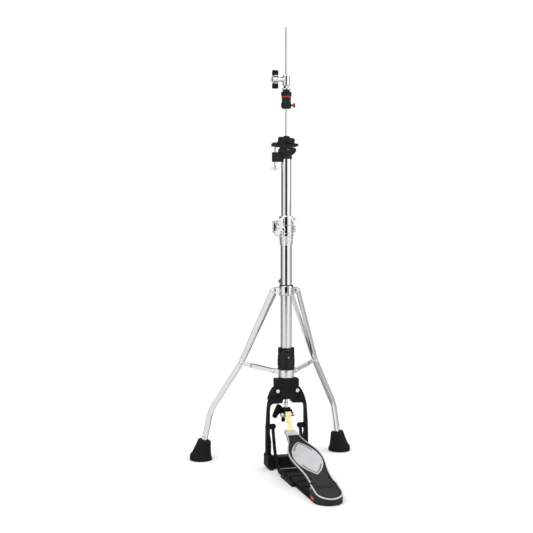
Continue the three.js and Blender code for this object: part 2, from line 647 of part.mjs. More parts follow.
function makeFootboard() {
  const [hy, hz] = PEDAL.heel;
  const board = group(stand, [0, hy, hz], { turnX: PEDAL.slope });
  const { thick, length, toe } = PEDAL;
  const plate = slab("z", boardOutline(0, length, 0), -thick, 0);
  const under = slab("z", boardOutline(30, length - 20, 5), -thick - 1, -4.5);
  const notches = [[19.5, 40], [-40, -19.5]].map((x) => block(x, [-10, 9.5], [-20, 5]));
  // The hinge knuckle hangs below the board's heel end.
  const cosine = Math.cos(THREE.MathUtils.degToRad(PEDAL.slope));
  const sine = Math.sin(THREE.MathUtils.degToRad(PEDAL.slope));
  const dy = PEDAL.pin[0] - hy;
  const dz = PEDAL.pin[1] - hz;
  const pin = [dy * cosine + dz * sine, dz * cosine - dy * sine];
  const knuckle = bar("x", 6.5, -19.5, 19.5, pin);
  const hole = bar("x", SCREW_R + GAP, -40, 40, pin);
  const bridge = block([-19.5, 19.5], [pin[0], 12], [-7.5, -1]);
  const body = cut(join(cut(plate, under), knuckle, bridge), ...notches, hole);
  piece("footboard", body, castBlack, board);

  // The badge is two arcs that meet in a point at each end.
  const { half: badgeHalf, reach, middle } = BADGE;
  const bow = (reach ** 2 + badgeHalf ** 2) / (2 * badgeHalf);
  const open = THREE.MathUtils.radToDeg(Math.asin(reach / bow));
  const badge = [
    ...arc([badgeHalf - bow, middle], bow, -open, open, 10),
    ...arc([bow - badgeHalf, middle], bow, 180 - open, 180 + open, 10).slice(1, -1),
  ];
  piece("badge_plate", slab("z", badge, GAP, 1.5), silver, board);

  const toeHalf = 15.8;
  const tipHalf = toeHalf - 1.5;
  const start = length + GAP;
  const toeOutline = [[-toeHalf, start], [toeHalf, start], [tipHalf, toe], [-tipHalf, toe]];
  const screw = turned([[0, -1], [4.2, -1], [4.2, 2], [2.5, 3], [0, 3]], SMALL_FACETS);
  const plateTop = slab("z", toeOutline, -thick, 0.2);
  piece("toe_plate", join(plateTop, screw.translate([0, 257, 0])), silver, board);
}

function makePedalBase() {
  const outline = [
    [-30, -27], [30, -27], [33, -80], [42, -90], [42, -184], [33.5, -186], [33.5, -332],
    ...arc([0, -322], 33.5, -16, -164, 8),
    [-33.5, -332], [-33.5, -186], [-42, -184], [-42, -90], [-33, -80],
  ];
  const spike = turned([[0, 2], [4, 2], [4, 15], [2, 18], [0, 18]], SMALL_FACETS);
  const anchors = [-1, 1].flatMap((s) => [
    block(s > 0 ? [31, 41.5] : [-41.5, -31], [-183, -92], [2, 12]),
    spike.translate([37 * s, -122, 0]),
    spike.translate([37 * s, -152, 0]),
  ]);
  piece("base_plate", join(slab("z", outline, 0, 3), ...anchors), castBlack);

  // The heel plate carries on from the footboard's top surface, round at its end.
  const [hy, hz] = PEDAL.heel;
  const slope = Math.tan(THREE.MathUtils.degToRad(PEDAL.slope));
  const top = (y) => hz + (y - hy) * slope;
  const [front, back, low] = [-370, -291, 3 + GAP];
  const round = arc([0, -327], 32.2, -12, -168, 10);
  const plan = slab("z", [[-32, back], [32, back], [32, -334], ...round, [-32, -334]], low, 60);
  const profile = [[front, low], [back, low], [back, top(back)], [front, top(front)]];
  const roomForBoard = block([-20, 20], [-309, -280], [3, 60]);
  const pinWay = bar("x", SCREW_R + GAP, -60, 60, PEDAL.pin);
  const knuckleWay = bar("x", 7.2, -20, 20, PEDAL.pin);
  const heel = plan.intersect(slab("x", profile, -40, 40));
  piece("heel_plate", cut(heel, roomForBoard, pinWay, knuckleWay), castBlack);
  piece("heel_hinge_pin", bar("x", SCREW_R, -34.5, 34.5, PEDAL.pin), steel);
  for (const [name, s] of [["left", -1], ["right", 1]]) {
    const span = (a, b) => (s > 0 ? [a, b] : [-b, -a]);
    piece(`heel_cap_${name}`, block(span(32 + GAP, 34.6), [-326, -302], [4, 14]), red);
    makeSideArm(name, span);
  }
}

// A side arm: a curved bar from a pivot in the post down to a foot on the base plate.
function makeSideArm(name, span) {
  const route = new THREE.SplineCurve(
    [PEDAL.pivot, [-12, 78], [-27, 40], [-52, 14], [-84, 8]].map(([y, z]) => new THREE.Vector2(y, z)),
  );
  const line = route.getPoints(12).map((p) => [p.x, p.y]);
  const curved = slab("x", band(line, 8.5, true, true), ...span(33, 40));
  const boss = bar("x", 7, ...span(31, 45.5), PEDAL.pivot);
  const foot = block(span(31.5, 40), [-91, -60], [3 + GAP, 10]);
  const plate = block([-60, 60], [-120, 0], [-10, 3 + GAP]);
  const collar = bar("x", 4.4, ...span(28.5, 32), PEDAL.pivot);
  const pin = bar("x", SCREW_R, ...span(30, 56), PEDAL.pivot);
  piece(`side_arm_${name}`, join(cut(join(curved, boss, foot), plate), collar, pin), castBlack);
}

makeLowerTube();
makeUpperTube();
makeTubeClamp();
makeMemoryLock();
makeSeat();
makeRod();
makeSpring();
makeClutch();
makeTensionSleeve();
makeCollars();
makeLeg("left");
makeLeg("right");
makeFrame();
makeDrive();
makeStrap();
makeFootboard();
makePedalBase();

export default stand;
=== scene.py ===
"""Looks of a two-legged hi-hat stand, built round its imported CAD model.

Shapes are drawn in millimetres in the CAD's own axes and stored in metres. Every CAD node is replaced
by a detailed piece that rides on the node's own body.
"""

import json
import math

import bmesh
import bpy
from mathutils import Matrix, Vector


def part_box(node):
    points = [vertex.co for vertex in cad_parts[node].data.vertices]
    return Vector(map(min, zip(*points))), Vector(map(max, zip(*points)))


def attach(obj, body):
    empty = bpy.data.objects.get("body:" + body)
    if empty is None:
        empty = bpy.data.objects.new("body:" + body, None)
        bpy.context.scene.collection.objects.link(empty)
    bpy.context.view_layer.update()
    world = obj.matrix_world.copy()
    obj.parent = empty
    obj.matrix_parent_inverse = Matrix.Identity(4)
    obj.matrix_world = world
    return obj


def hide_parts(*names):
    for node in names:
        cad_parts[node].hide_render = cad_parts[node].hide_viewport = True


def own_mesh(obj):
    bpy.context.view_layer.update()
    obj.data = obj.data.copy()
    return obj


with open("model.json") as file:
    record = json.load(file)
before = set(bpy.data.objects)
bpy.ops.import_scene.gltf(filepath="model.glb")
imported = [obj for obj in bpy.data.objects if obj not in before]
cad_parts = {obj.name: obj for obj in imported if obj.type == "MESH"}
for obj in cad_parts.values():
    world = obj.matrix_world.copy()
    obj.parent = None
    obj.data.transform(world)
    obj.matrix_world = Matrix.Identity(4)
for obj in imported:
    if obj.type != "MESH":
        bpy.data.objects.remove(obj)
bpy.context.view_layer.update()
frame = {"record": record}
scene = bpy.context.scene

MM = 0.001
NODE_BODY = {
    node: body for body, nodes in frame["record"]["behaviour"]["bodies"].items() for node in nodes
}

# ---------------------------------------------------------------- camera
CAMERA_AT = (-0.7397, -2.4347, 0.648)
CAMERA_TURN = math.radians(-15.77)
CAMERA_PITCH = math.radians(1.5)
LENS = 67.57
CAMERA_DROP = -0.05  # the picture's frame reaches a little lower than the lens's own middle


def make_camera():
    """The photo's view, from behind the player's left, a little above half the stand's height."""
    camera = bpy.data.objects.new("camera", bpy.data.cameras.new("camera"))
    scene.collection.objects.link(camera)
    camera.location = CAMERA_AT
    camera.rotation_euler = (math.pi / 2 - CAMERA_PITCH, 0, CAMERA_TURN)
    camera.data.lens = LENS
    camera.data.shift_y = CAMERA_DROP
    camera.data.sensor_width = 36
    camera.data.clip_end = 200
    scene.camera = camera


# ---------------------------------------------------------------- studio
FLOOR_SIZE = 60
STUDIO_WHITE = 1.05
# Brightness round the studio against the azimuth, in turns: 0.5 is the camera's side, less is to its left.
# The dark gap at 0.5 is the one the camera looks through. Below the table line it is filled in.
STUDIO_BANDS = [
    (0.00, 0.2), (0.14, 0.12), (0.22, 0.16), (0.26, 0.3), (0.30, 0.8), (0.36, 1.05), (0.425, 1.0),
    (0.433, 0.005), (0.547, 0.005), (0.56, 0.85), (0.62, 1.1), (0.68, 1.1), (0.74, 0.6), (0.80, 0.34),
    (0.86, 0.28), (1.00, 0.2),
]
STUDIO_BANDS_LOW = [
    (0.00, 0.3), (0.14, 0.26), (0.22, 0.3), (0.26, 0.42), (0.32, 0.85), (0.42, 0.9), (0.45, 0.72),
    (0.49, 0.62), (0.53, 0.55), (0.56, 0.9), (0.68, 0.9), (0.74, 0.66), (0.80, 0.5), (1.00, 0.3),
]
TABLE_LINE = (-0.105, -0.075)  # heights of view directions between which the low bands give way
OVERHEAD_FROM = (0.28, 0.42)
OVERHEAD = 0.95
ZENITH_FROM = (0.72, 0.9)
ZENITH = 0.12


def blend(nodes, links, factor, first, second):
    """Mixes two colours; each is a socket, an (r, g, b) colour or a plain grey."""
    mix = nodes.new("ShaderNodeMix")
    mix.data_type = "RGBA"
    links.new(factor, mix.inputs["Factor"])
    for value, socket in ((first, mix.inputs[6]), (second, mix.inputs[7])):
        if isinstance(value, float):
            value = (value, value, value)
        if isinstance(value, tuple):
            socket.default_value = (*value, 1)
        else:
            links.new(value, socket)
    return mix.outputs[2]


def rising(nodes, links, value, low, high, start=0, end=1):
    """Maps a value to start at low and to end at high."""
    step = nodes.new("ShaderNodeMapRange")
    step.inputs["From Min"].default_value = low
    step.inputs["From Max"].default_value = high
    step.inputs["To Min"].default_value = start
    step.inputs["To Max"].default_value = end
    links.new(value, step.inputs["Value"])
    return step.outputs["Result"]


def make_studio():
    """A pale floor in an even surround; what shines sees light and dark cards that draw the chrome."""
    world = bpy.data.worlds.new("studio")
    scene.world = world
    world.use_nodes = True
    nodes, links = world.node_tree.nodes, world.node_tree.links
    nodes.clear()
    out = nodes.new("ShaderNodeOutputWorld")
    place = nodes.new("ShaderNodeTexCoord")
    turn = nodes.new("ShaderNodeMapping")
    turn.inputs["Rotation"].default_value = (0, 0, math.pi / 2 - CAMERA_TURN)
    links.new(place.outputs["Generated"], turn.inputs["Vector"])
    round_about = nodes.new("ShaderNodeTexGradient")
    round_about.gradient_type = "RADIAL"
    links.new(turn.outputs["Vector"], round_about.inputs["Vector"])
    rings = []
    for bands in (STUDIO_BANDS_LOW, STUDIO_BANDS):
        ring = nodes.new("ShaderNodeValToRGB")
        ramp(ring, [(at, (v, v, v)) for at, v in bands])
        links.new(round_about.outputs["Color"], ring.inputs["Fac"])
        rings.append(ring.outputs["Color"])
    parts = nodes.new("ShaderNodeSeparateXYZ")
    links.new(place.outputs["Generated"], parts.inputs["Vector"])
    height = parts.outputs["Z"]
    steep = nodes.new("ShaderNodeMath")
    steep.operation = "ABSOLUTE"
    links.new(height, steep.inputs[0])
    seen = blend(nodes, links, rising(nodes, links, height, *TABLE_LINE), rings[0], rings[1])
    seen = blend(nodes, links, rising(nodes, links, steep.outputs["Value"], *OVERHEAD_FROM), seen, OVERHEAD)
    seen = blend(nodes, links, rising(nodes, links, steep.outputs["Value"], *ZENITH_FROM), seen, ZENITH)

    cards = nodes.new("ShaderNodeBackground")
    links.new(seen, cards.inputs["Color"])
    plain = nodes.new("ShaderNodeBackground")
    plain.inputs["Color"].default_value = (STUDIO_WHITE, STUDIO_WHITE, STUDIO_WHITE, 1)
    ray = nodes.new("ShaderNodeLightPath")
    pick = nodes.new("ShaderNodeMixShader")
    links.new(ray.outputs["Is Glossy Ray"], pick.inputs["Fac"])
    links.new(plain.outputs["Background"], pick.inputs[1])
    links.new(cards.outputs["Background"], pick.inputs[2])
    links.new(pick.outputs["Shader"], out.inputs["Surface"])

    floor = bpy.data.meshes.new("floor")
    half = FLOOR_SIZE / 2
    floor.from_pydata([(-half, -half, 0), (half, -half, 0), (half, half, 0), (-half, half, 0)], [],
                      [(0, 1, 2, 3)])
    floor_object = bpy.data.objects.new("floor", floor)
    floor_object.visible_glossy = False
    scene.collection.objects.link(floor_object)
    floor.materials.append(finish("floor", (0.96, 0.96, 0.96), 0.9, vary=0.01, specular=0.0, grain=(3, 0.0)))


def lamp(name, at, target, size, watts):
    """A soft square lamp that faces a point."""
    data = bpy.data.lights.new(name, "AREA")
    data.size = size
    data.energy = watts
    made = bpy.data.objects.new(name, data)
    made.location = at
    made.rotation_euler = (Vector(target) - Vector(at)).to_track_quat("-Z", "Y").to_euler()
    scene.collection.objects.link(made)


# ---------------------------------------------------------------- finishes
WEAR_WIDTH = 0.5  # of the worn strip along an edge, in millimetres


def ramp(node, stops):
    """Sets a colour ramp's stops from (position, (r, g, b)) pairs."""
    band = node.color_ramp
    while len(band.elements) > 1:
        band.elements.remove(band.elements[-1])
    band.elements[0].position, first = stops[0][0], stops[0][1]
    band.elements[0].color = (*first, 1)
    for position, color in stops[1:]:
        band.elements.new(position).color = (*color, 1)


def finish(name, color, rough, metal=0.0, vary=0.12, spots=60.0, grain=(900, 0.1), stretch=(1, 1, 1),
           smudge=0.06, wear=None, specular=0.5):
    """A node material: mottled colour, uneven roughness, fine relief and, where asked, worn edges.

    grain is (scale per metre, relief), stretch draws the grain out along an axis, smudge is how far the
    roughness strays, and wear is the colour that shows on edges.
    """
    material = bpy.data.materials.new(name)
    material.use_nodes = True
    nodes, links = material.node_tree.nodes, material.node_tree.links
    shader = nodes["Principled BSDF"]
    shader.inputs["Metallic"].default_value = metal
    shader.inputs["Specular IOR Level"].default_value = specular
    place = nodes.new("ShaderNodeTexCoord")

    mottle = nodes.new("ShaderNodeTexNoise")
    mottle.inputs["Scale"].default_value = spots
    mottle.inputs["Detail"].default_value = 4
    links.new(place.outputs["Object"], mottle.inputs["Vector"])
    tint = nodes.new("ShaderNodeValToRGB")
    dark = tuple(c * (1 - vary) for c in color)
    light = tuple(min(c * (1 + vary), 1) for c in color)
    ramp(tint, [(0.3, dark), (0.7, light)])
    links.new(mottle.outputs["Fac"], tint.inputs["Fac"])

    low, high = max(rough - smudge, 0.02), min(rough + smudge, 1)
    links.new(rising(nodes, links, mottle.outputs["Fac"], 0.3, 0.7, low, high), shader.inputs["Roughness"])

    draw = nodes.new("ShaderNodeMapping")
    draw.inputs["Scale"].default_value = stretch
    fine = nodes.new("ShaderNodeTexNoise")
    fine.inputs["Scale"].default_value = grain[0]
    fine.inputs["Detail"].default_value = 3
    links.new(place.outputs["Object"], draw.inputs["Vector"])
    links.new(draw.outputs["Vector"], fine.inputs["Vector"])
    relief = nodes.new("ShaderNodeBump")
    relief.inputs["Strength"].default_value = grain[1]
    relief.inputs["Distance"].default_value = 0.0004
    links.new(fine.outputs["Fac"], relief.inputs["Height"])
    links.new(relief.outputs["Normal"], shader.inputs["Normal"])

    shown = tint.outputs["Color"]
    if wear:
        shown = blend(nodes, links, worn_edges(nodes, links, fine), shown, wear)
    links.new(shown, shader.inputs["Base Color"])
    return material


def worn_edges(nodes, links, fine):
    """How worn a point is, 0 to 1: high on outer edges, broken up by the fine grain."""
    rounded = nodes.new("ShaderNodeBevel")
    rounded.samples = 4
    rounded.inputs["Radius"].default_value = WEAR_WIDTH * MM
    sharp = nodes.new("ShaderNodeNewGeometry")
    dot = nodes.new("ShaderNodeVectorMath")
    dot.operation = "DOT_PRODUCT"
    links.new(rounded.outputs["Normal"], dot.inputs[0])
    links.new(sharp.outputs["Normal"], dot.inputs[1])
    bend = rising(nodes, links, dot.outputs["Value"], 0.99, 0.82)
    broken = nodes.new("ShaderNodeMath")
    broken.operation = "MULTIPLY"
    links.new(bend, broken.inputs[0])
    links.new(fine.outputs["Fac"], broken.inputs[1])
    return broken.outputs["Value"]


FINISHES = {
    "chrome": finish("chrome", (0.84, 0.85, 0.86), 0.09, 1, 0.03, 14, (260, 0.015), smudge=0.035),
    "dark_chrome": finish("dark_chrome", (0.34, 0.35, 0.36), 0.2, 1, 0.1, 40, (420, 0.05)),
    "bare_steel": finish("bare_steel", (0.5, 0.49, 0.47), 0.32, 1, 0.12, 90, (1500, 0.12)),
    "cast_black": finish(
        "cast_black", (0.0042, 0.0055, 0.0042), 0.5, 0, 0.3, 70, (1300, 0.28), wear=(0.04, 0.043, 0.04),
        smudge=0.08, specular=0.16,
    ),
    "board_black": finish(
        "board_black", (0.0125, 0.0145, 0.0155), 0.5, 0, 0.12, 60, (1500, 0.3), wear=(0.08, 0.085, 0.085),
        specular=0.25
    ),
    "black_plastic": finish(
        "black_plastic", (0.007, 0.0075, 0.0075), 0.45, 0, 0.2, 120, (2200, 0.12), wear=(0.035, 0.035, 0.035),
        specular=0.25,
    ),
    "black_rubber": finish(
        "black_rubber", (0.006, 0.0075, 0.006), 0.72, 0, 0.25, 90, (1700, 0.3), smudge=0.1, specular=0.15
    ),
    "red_plastic": finish("red_plastic", (0.3, 0.022, 0.02), 0.36, 0, 0.15, 150, (2200, 0.06), specular=0.35),
    "black_felt": finish("black_felt", (0.012, 0.012, 0.012), 0.95, 0, 0.5, 900, (2600, 0.9), specular=0.1),
    "silver_metal": finish(
        "silver_metal", (0.74, 0.75, 0.76), 0.36, 0.6, 0.06, 50, (700, 0.06), stretch=(0.05, 1, 1)
    ),
    "strap_belt": finish("strap_belt", (0.8, 0.7, 0.37), 0.75, 0, 0.1, 160, (1500, 0.5), specular=0.2),
    "thread": finish("thread", (0.42, 0.36, 0.2), 0.85, 0, 0.2, 300, (4000, 0.6)),
    "badge": finish(
        "badge", (0.6, 0.61, 0.62), 0.42, 0.35, 0.05, 45, (900, 0.1), stretch=(0.04, 1, 1), specular=0.4
    ),
}
NODE_SLOT = {part["node"]: part["material_slot"] for part in frame["record"]["subparts"]}


# ---------------------------------------------------------------- shapes, in millimetres
SIDES = 64
SHARP = math.radians(30)
SHADE_SHARP = math.radians(38)


def place_on(axis, a, b, h):
    """A point from two outline coordinates and a station along an axis."""
    return {"x": (h, a, b), "y": (a, h, b), "z": (a, b, h)}[axis]


def loft(loops):
    """Skins equal loops of points one after another, with flat ends."""
    bm = bmesh.new()
    rings = [[bm.verts.new(p) for p in loop] for loop in loops]
    count = len(rings[0])
    for a, b in zip(rings, rings[1:]):
        for i in range(count):
            j = (i + 1) % count
            bm.faces.new((a[i], a[j], b[j], b[i]))
    bm.faces.new(rings[0])
    bm.faces.new(rings[-1])
    bmesh.ops.recalc_face_normals(bm, faces=bm.faces)
    return bm


def prism(outline, low, high, axis="z"):
    """An outline extruded along an axis: XY for z, XZ for y and YZ for x."""
    return loft([[place_on(axis, a, b, h) for a, b in outline] for h in (low, high)])


def block(x, y, z):
    return prism([(x[0], y[0]), (x[1], y[0]), (x[1], y[1]), (x[0], y[1])], z[0], z[1])


def lathe(profile, sides=SIDES, axis="z", at=(0, 0)):
    """A profile of (radius, station) points turned round an axis that passes through at."""
    bm = bmesh.new()
    rings = []
    for r, h in profile:
        if r == 0:
            rings.append([bm.verts.new(place_on(axis, at[0], at[1], h))])
            continue
        turns = [2 * math.pi * i / sides for i in range(sides)]
        rings.append(
            [bm.verts.new(place_on(axis, at[0] + r * math.cos(t), at[1] + r * math.sin(t), h)) for t in turns]
        )
    pairs = list(zip(rings, rings[1:]))
    if profile[0][0] > 0:
        pairs.append((rings[-1], rings[0]))
    for a, b in pairs:
        for i in range(sides):
            j = (i + 1) % sides
            corners = [a[i % len(a)], a[j % len(a)], b[j % len(b)], b[i % len(b)]]
            bm.faces.new(list(dict.fromkeys(corners)))
    bmesh.ops.recalc_face_normals(bm, faces=bm.faces)
    return bm


def tube(r0, r1, low, high, sides=SIDES, axis="z", at=(0, 0)):
    return lathe([(r0, low), (r1, low), (r1, high), (r0, high)], sides, axis, at)


def rod(r, low, high, sides=32, axis="z", at=(0, 0)):
    return lathe([(0, low), (r, low), (r, high), (0, high)], sides, axis, at)


def dome(r, low, height, axis="z", at=(0, 0), dimple=0.0):
    """A rivet head: a low dome, with a round dimple in its middle where asked."""
    sign = 1 if height > 0 else -1
    profile = [(0, low)]
    for i in range(7):
        angle = math.pi / 2 * i / 6
        profile.append((r * math.cos(angle) if i < 6 else 0, low + height * math.sin(angle)))
    if dimple:
        profile = profile[:-2] + [(dimple, low + height * 0.93), (dimple * 0.8, low + height - sign * 0.6)]
        profile.append((0, low + height - sign * 0.6))
    return lathe(profile, 32, axis, at)


def arc(centre, r, start, end, steps=8):
    """Points of an arc, in degrees."""
    turns = [math.radians(start + (end - start) * i / steps) for i in range(steps + 1)]
    return [(centre[0] + r * math.cos(t), centre[1] + r * math.sin(t)) for t in turns]


def eased(points, radii, steps=8):
    """A polyline with each inner corner turned into an arc of its own radius."""
    made = [points[0]]
    for before, corner, after, r in zip(points, points[1:], points[2:], radii):
        c = Vector(corner)
        u, v = (Vector(before) - c).normalized(), (Vector(after) - c).normalized()
        half = u.angle(v) / 2
        reach = r / math.tan(half)
        centre = c + (u + v).normalized() * (r / math.sin(half))
        start, end = c + u * reach - centre, c + v * reach - centre
        sweep = start.angle(end)
        for i in range(steps + 1):
            t = i / steps
            swung = start * math.sin((1 - t) * sweep) + end * math.sin(t * sweep)
            made.append(tuple(centre + swung / math.sin(sweep)))
    return [*made, points[-1]]


def smooth_line(points, steps=6):
    """A Catmull-Rom curve through 2D points."""
    padded = [points[0], *points, points[-1]]
    made = []
    for a, b, c, d in zip(padded, padded[1:], padded[2:], padded[3:]):
        for i in range(steps):
            t = i / steps
            made.append(tuple(
                0.5 * (2 * q + (r - p) * t + (2 * p - 5 * q + 4 * r - s) * t**2
                       + (3 * q - p - 3 * r + s) * t**3)
                for p, q, r, s in zip(a, b, c, d)
            ))
    return [*made, points[-1]]


def sides_of(line):
    """Each point of a 2D line with the unit normal on its left."""
    made = []
    for i, point in enumerate(line):
        ahead = Vector(line[min(i + 1, len(line) - 1)]) - Vector(line[max(i - 1, 0)])
        made.append((Vector(point), Vector((-ahead.y, ahead.x)).normalized()))
    return made


def mirrored(points, sign):
    """A 2D outline, turned left to right where sign is -1."""
    return [(x * sign, y) for x, y in points]


def both_sides(half):
    """A closed outline from its right half."""
    return half + [(-x, y) for x, y in reversed(half)]


def moved(bm, *matrices):
    for matrix in matrices:
        bmesh.ops.transform(bm, matrix=matrix, verts=bm.verts)
    return bm


def shift(x, y, z):
    return Matrix.Translation((x, y, z))


def spin(degrees, axis):
    return Matrix.Rotation(math.radians(degrees), 4, axis)


def merged(*shapes):
    """Several shapes as one bmesh."""
    whole = bmesh.new()
    for shape in shapes:
        mesh = bpy.data.meshes.new("part")
        shape.to_mesh(mesh)
        shape.free()
        whole.from_mesh(mesh)
        bpy.data.meshes.remove(mesh)
    return whole


def soft(bm, radius=0.5, segments=2):
    """Rounds every edge that is sharper than SHARP."""
    bmesh.ops.dissolve_limit(bm, angle_limit=math.radians(0.5), verts=bm.verts, edges=bm.edges)
    edges = [e for e in bm.edges if len(e.link_faces) == 2 and e.calc_face_angle(0) > SHARP]
    bmesh.ops.bevel(
        bm, geom=edges, offset=radius, segments=segments, profile=0.5, affect="EDGES", clamp_overlap=True
    )
    return bm


def combined(shape, tools, operation):
    """A shape with tool shapes cut out of it, joined to it or crossed with it by exact booleans."""
    names = []
    for source in (shape, *tools):
        mesh = bpy.data.meshes.new("work")
        source.to_mesh(mesh)
        source.free()
        made = bpy.data.objects.new("work", mesh)
        scene.collection.objects.link(made)
        names.append(made)
    body = names[0]
    for tool in names[1:]:
        step = body.modifiers.new("step", "BOOLEAN")
        step.operation = operation
        step.solver = "EXACT"
        step.object = tool
    bm = bmesh.new()
    bm.from_object(body, bpy.context.evaluated_depsgraph_get())
    for made in names:
        mesh = made.data
        bpy.data.objects.remove(made)
        bpy.data.meshes.remove(mesh)
    return bm


def carve(shape, *tools):
    return combined(shape, tools, "DIFFERENCE")


def weld(shape, *tools):
    return combined(shape, tools, "UNION")


def piece(name, shape, *nodes, slot=None, body=None, look=None):
    """Makes a shape an object that rides on its node's body, in its node's finish."""
    mesh = bpy.data.meshes.new(name)
    bmesh.ops.scale(shape, vec=(MM, MM, MM), verts=shape.verts)
    shape.to_mesh(mesh)
    shape.free()
    mesh.shade_smooth()
    mesh.set_sharp_from_angle(angle=SHADE_SHARP)
    made = bpy.data.objects.new(name, mesh)
    scene.collection.objects.link(made)
    slot = slot or NODE_SLOT[nodes[0]]
    mesh.materials.append(look or FINISHES[slot])
    even = made.modifiers.new("even", "WEIGHTED_NORMAL")
    even.keep_sharp = True
    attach(made, body or NODE_BODY[nodes[0]])
    if nodes:
        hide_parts(*nodes)
    return made


def span(node):
    """A CAD node's box in millimetres, as its low and high corners."""
    low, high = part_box(node)
    return low / MM, high / MM


# ---------------------------------------------------------------- column
GAP = 0.3
LOWER_R = (span("lower_tube")[1].x - span("lower_tube")[0].x) / 2
UPPER_R = (span("upper_tube")[1].x - span("upper_tube")[0].x) / 2
WALL = 1.3


def make_tubes():
    low, high = span("lower_tube")
    slot = block((-2.5, 2.5), (-20, 20), (280, 306))
    lower = carve(tube(LOWER_R - WALL, LOWER_R, low.z, high.z, 96), slot)
    piece("lower_tube_skin", soft(lower, 0.25), "lower_tube")
    low, high = span("upper_tube")
    upper = tube(UPPER_R - WALL, UPPER_R, low.z, high.z, 96)
    piece("upper_tube_skin", soft(upper, 0.3), "upper_tube")
    low, high = span("tube_bushing")
    piece("bushing_skin", soft(tube(UPPER_R + GAP, LOWER_R - 0.1, low.z, high.z)), "tube_bushing")


def make_tube_clamp():
    """The cone and bands at the lower tube's mouth, with a split, ears, a hinge boss and a socket screw."""
    low, high = span("tube_clamp")
    bore = LOWER_R + GAP
    base = low.z
    profile = [
        (bore, base), (15.4, base), (15.9, base + 1), (16.1, base + 5), (15.9, base + 5.6),
        (16.3, base + 6.2), (17.5, base + 21), (17.9, base + 22.4), (18.6, base + 23.4),
        (18.6, base + 28.6), (17.7, base + 29.6), (17.7, base + 30.6), (18.3, base + 31.6),
        (18.3, base + 49), (17.6, base + 50), (17.6, base + 51), (18.4, base + 52), (18.4, high.z),
        (bore, high.z),
    ]
    shell = lathe(profile, 96)
    rounded = [(-12, -13), *arc((-29, -10), 3, 270, 180, 5), (-32, -4), (-12, -4)]
    far = [(-12, 0), (-32, 0), *arc((-29, 3), 3, 180, 90, 5), (-12, 6)]
    ears = prism(rounded, 604, 624)
    far_ear = prism(far, 604, 624)
    slit = block((-36, -10), (-4, 0), (600, 630))
    turn = [spin(232, "Z"), shift(0, 0, 608)]
    boss = moved(rod(4.6, 14, 19.4, 32, "x"), *turn)
    socket = moved(rod(2.6, 17.4, 24, 6, "x"), *turn)
    hinge = [rod(4.3, a, b, 32, "z", (20.2, -2)) for a, b in ((601, 606), (606.6, 612), (612.6, 617.6))]
    pin = rod(2.2, 600, 618.4, 24, "z", (20.2, -2))
    pip = moved(block((14, 17.9), (-3.2, 3.2), (base + 8, base + 15)), spin(-72, "Z"))
    body = weld(shell, ears, far_ear, boss)
    body = carve(body, slit, rod(3 + GAP, -20, 20, 24, "y", (-27, 614)), rod(bore, 560, 640, 96), socket)
    whole = merged(soft(body, 0.45), *[soft(h, 0.4) for h in hinge], pin, soft(pip, 0.6))
    piece("tube_clamp_body", whole, "tube_clamp")
    dark = moved(rod(2.5, 17.2, 17.7, 6, "x"), *turn)
    piece("clamp_socket_shade", dark, slot="black_plastic", body=NODE_BODY["tube_clamp"])


WING_THICK = 5.5


def wing(centre_z, reach, lobe, root):
    """One rounded wing in the XY plane: a waist at the hub that swells into a round lobe."""
    outline = [(-root, 0), (-root * 0.72, reach - lobe * 2.1), *arc((0, reach - lobe), lobe, 200, -20, 16)]
    outline += [(root * 0.72, reach - lobe * 2.1), (root, 0)]
    return soft(prism(outline, centre_z - WING_THICK / 2, centre_z + WING_THICK / 2), WING_THICK * 0.36, 4)


def wing_screw(shank, hub, hub_r, span_up, span_down, lobe):
    """A wing screw along local Z: a threaded shank, a stepped hub and two wings."""
    thread = []
    turns = int(shank / 1.2)
    for i in range(turns):
        thread += [(2.5, -shank + 1.2 * i), (3.0, -shank + 1.2 * i + 0.6)]
    shaft = lathe([(0, -shank), *thread, (2.6, 0), (0, 0.5)], 24)
    core = lathe([(0, 0), (hub_r - 0.8, 0), (hub_r, 1), (hub_r, hub * 0.55), (hub_r * 0.86, hub * 0.62),
                  (hub_r * 0.8, hub - 1.2), (hub_r * 0.55, hub), (0, hub)], 48)
    lift = hub - WING_THICK * 0.62
    up = wing(lift, span_up, lobe, hub_r * 0.62)
    down = moved(wing(lift, span_down, lobe * 1.08, hub_r * 0.62), spin(180, "Z"))
    return merged(shaft, soft(core, 0.4), up, down)


def make_clamp_screw():
    screw = wing_screw(18.5, 13, 6, 23.5, 23.5, 7.6)
    turn = [spin(-12, "Z"), spin(90, "X"), shift(-27, -13 - GAP, 614)]
    piece("height_wing_screw", moved(screw, *turn), "clamp_wing_screw")


def make_memory_lock():
    low, high = span("memory_lock")
    bore = UPPER_R + GAP
    z0, z1 = low.z, high.z
    ring = lathe([(bore, z0), (17, z0), (18.1, z0 + 1.2), (18.1, z0 + 6.6), (17.6, z0 + 7.1),
                  (18.1, z0 + 7.6), (18.1, z1 - 2.4), (17, z1), (bore, z1)], 96)
    near = prism([(8, -14.5), (19.5, -14.5), *arc((19.5, -11.5), 3, 270, 360, 4), (22.5, -6.5), (8, -6.5)],
                 629, 640)
    far = prism([(8, -4.5), (22.5, -4.5), *arc((19.5, -1.5), 3, 0, 90, 4), (8, 1.5)], 629, 640)
    cuts = [rod(bore, 620, 650, 96), block((8, 26), (-6.5, -4.5), (620, 650))]
    body = soft(carve(weld(ring, near, far), *cuts), 0.45)
    head = carve(rod(3.4, -18, -14, 32, "y", (19, 634.5)), block((17.9, 20.1), (-19, -16.3), (633.4, 635.6)))
    piece("memory_lock_body", merged(body, soft(head, 0.3)), "memory_lock")


# ---------------------------------------------------------------- cymbal seat
SEAT_Z = 832
SEAT_R = 21.5
SEAT_TILT = 7


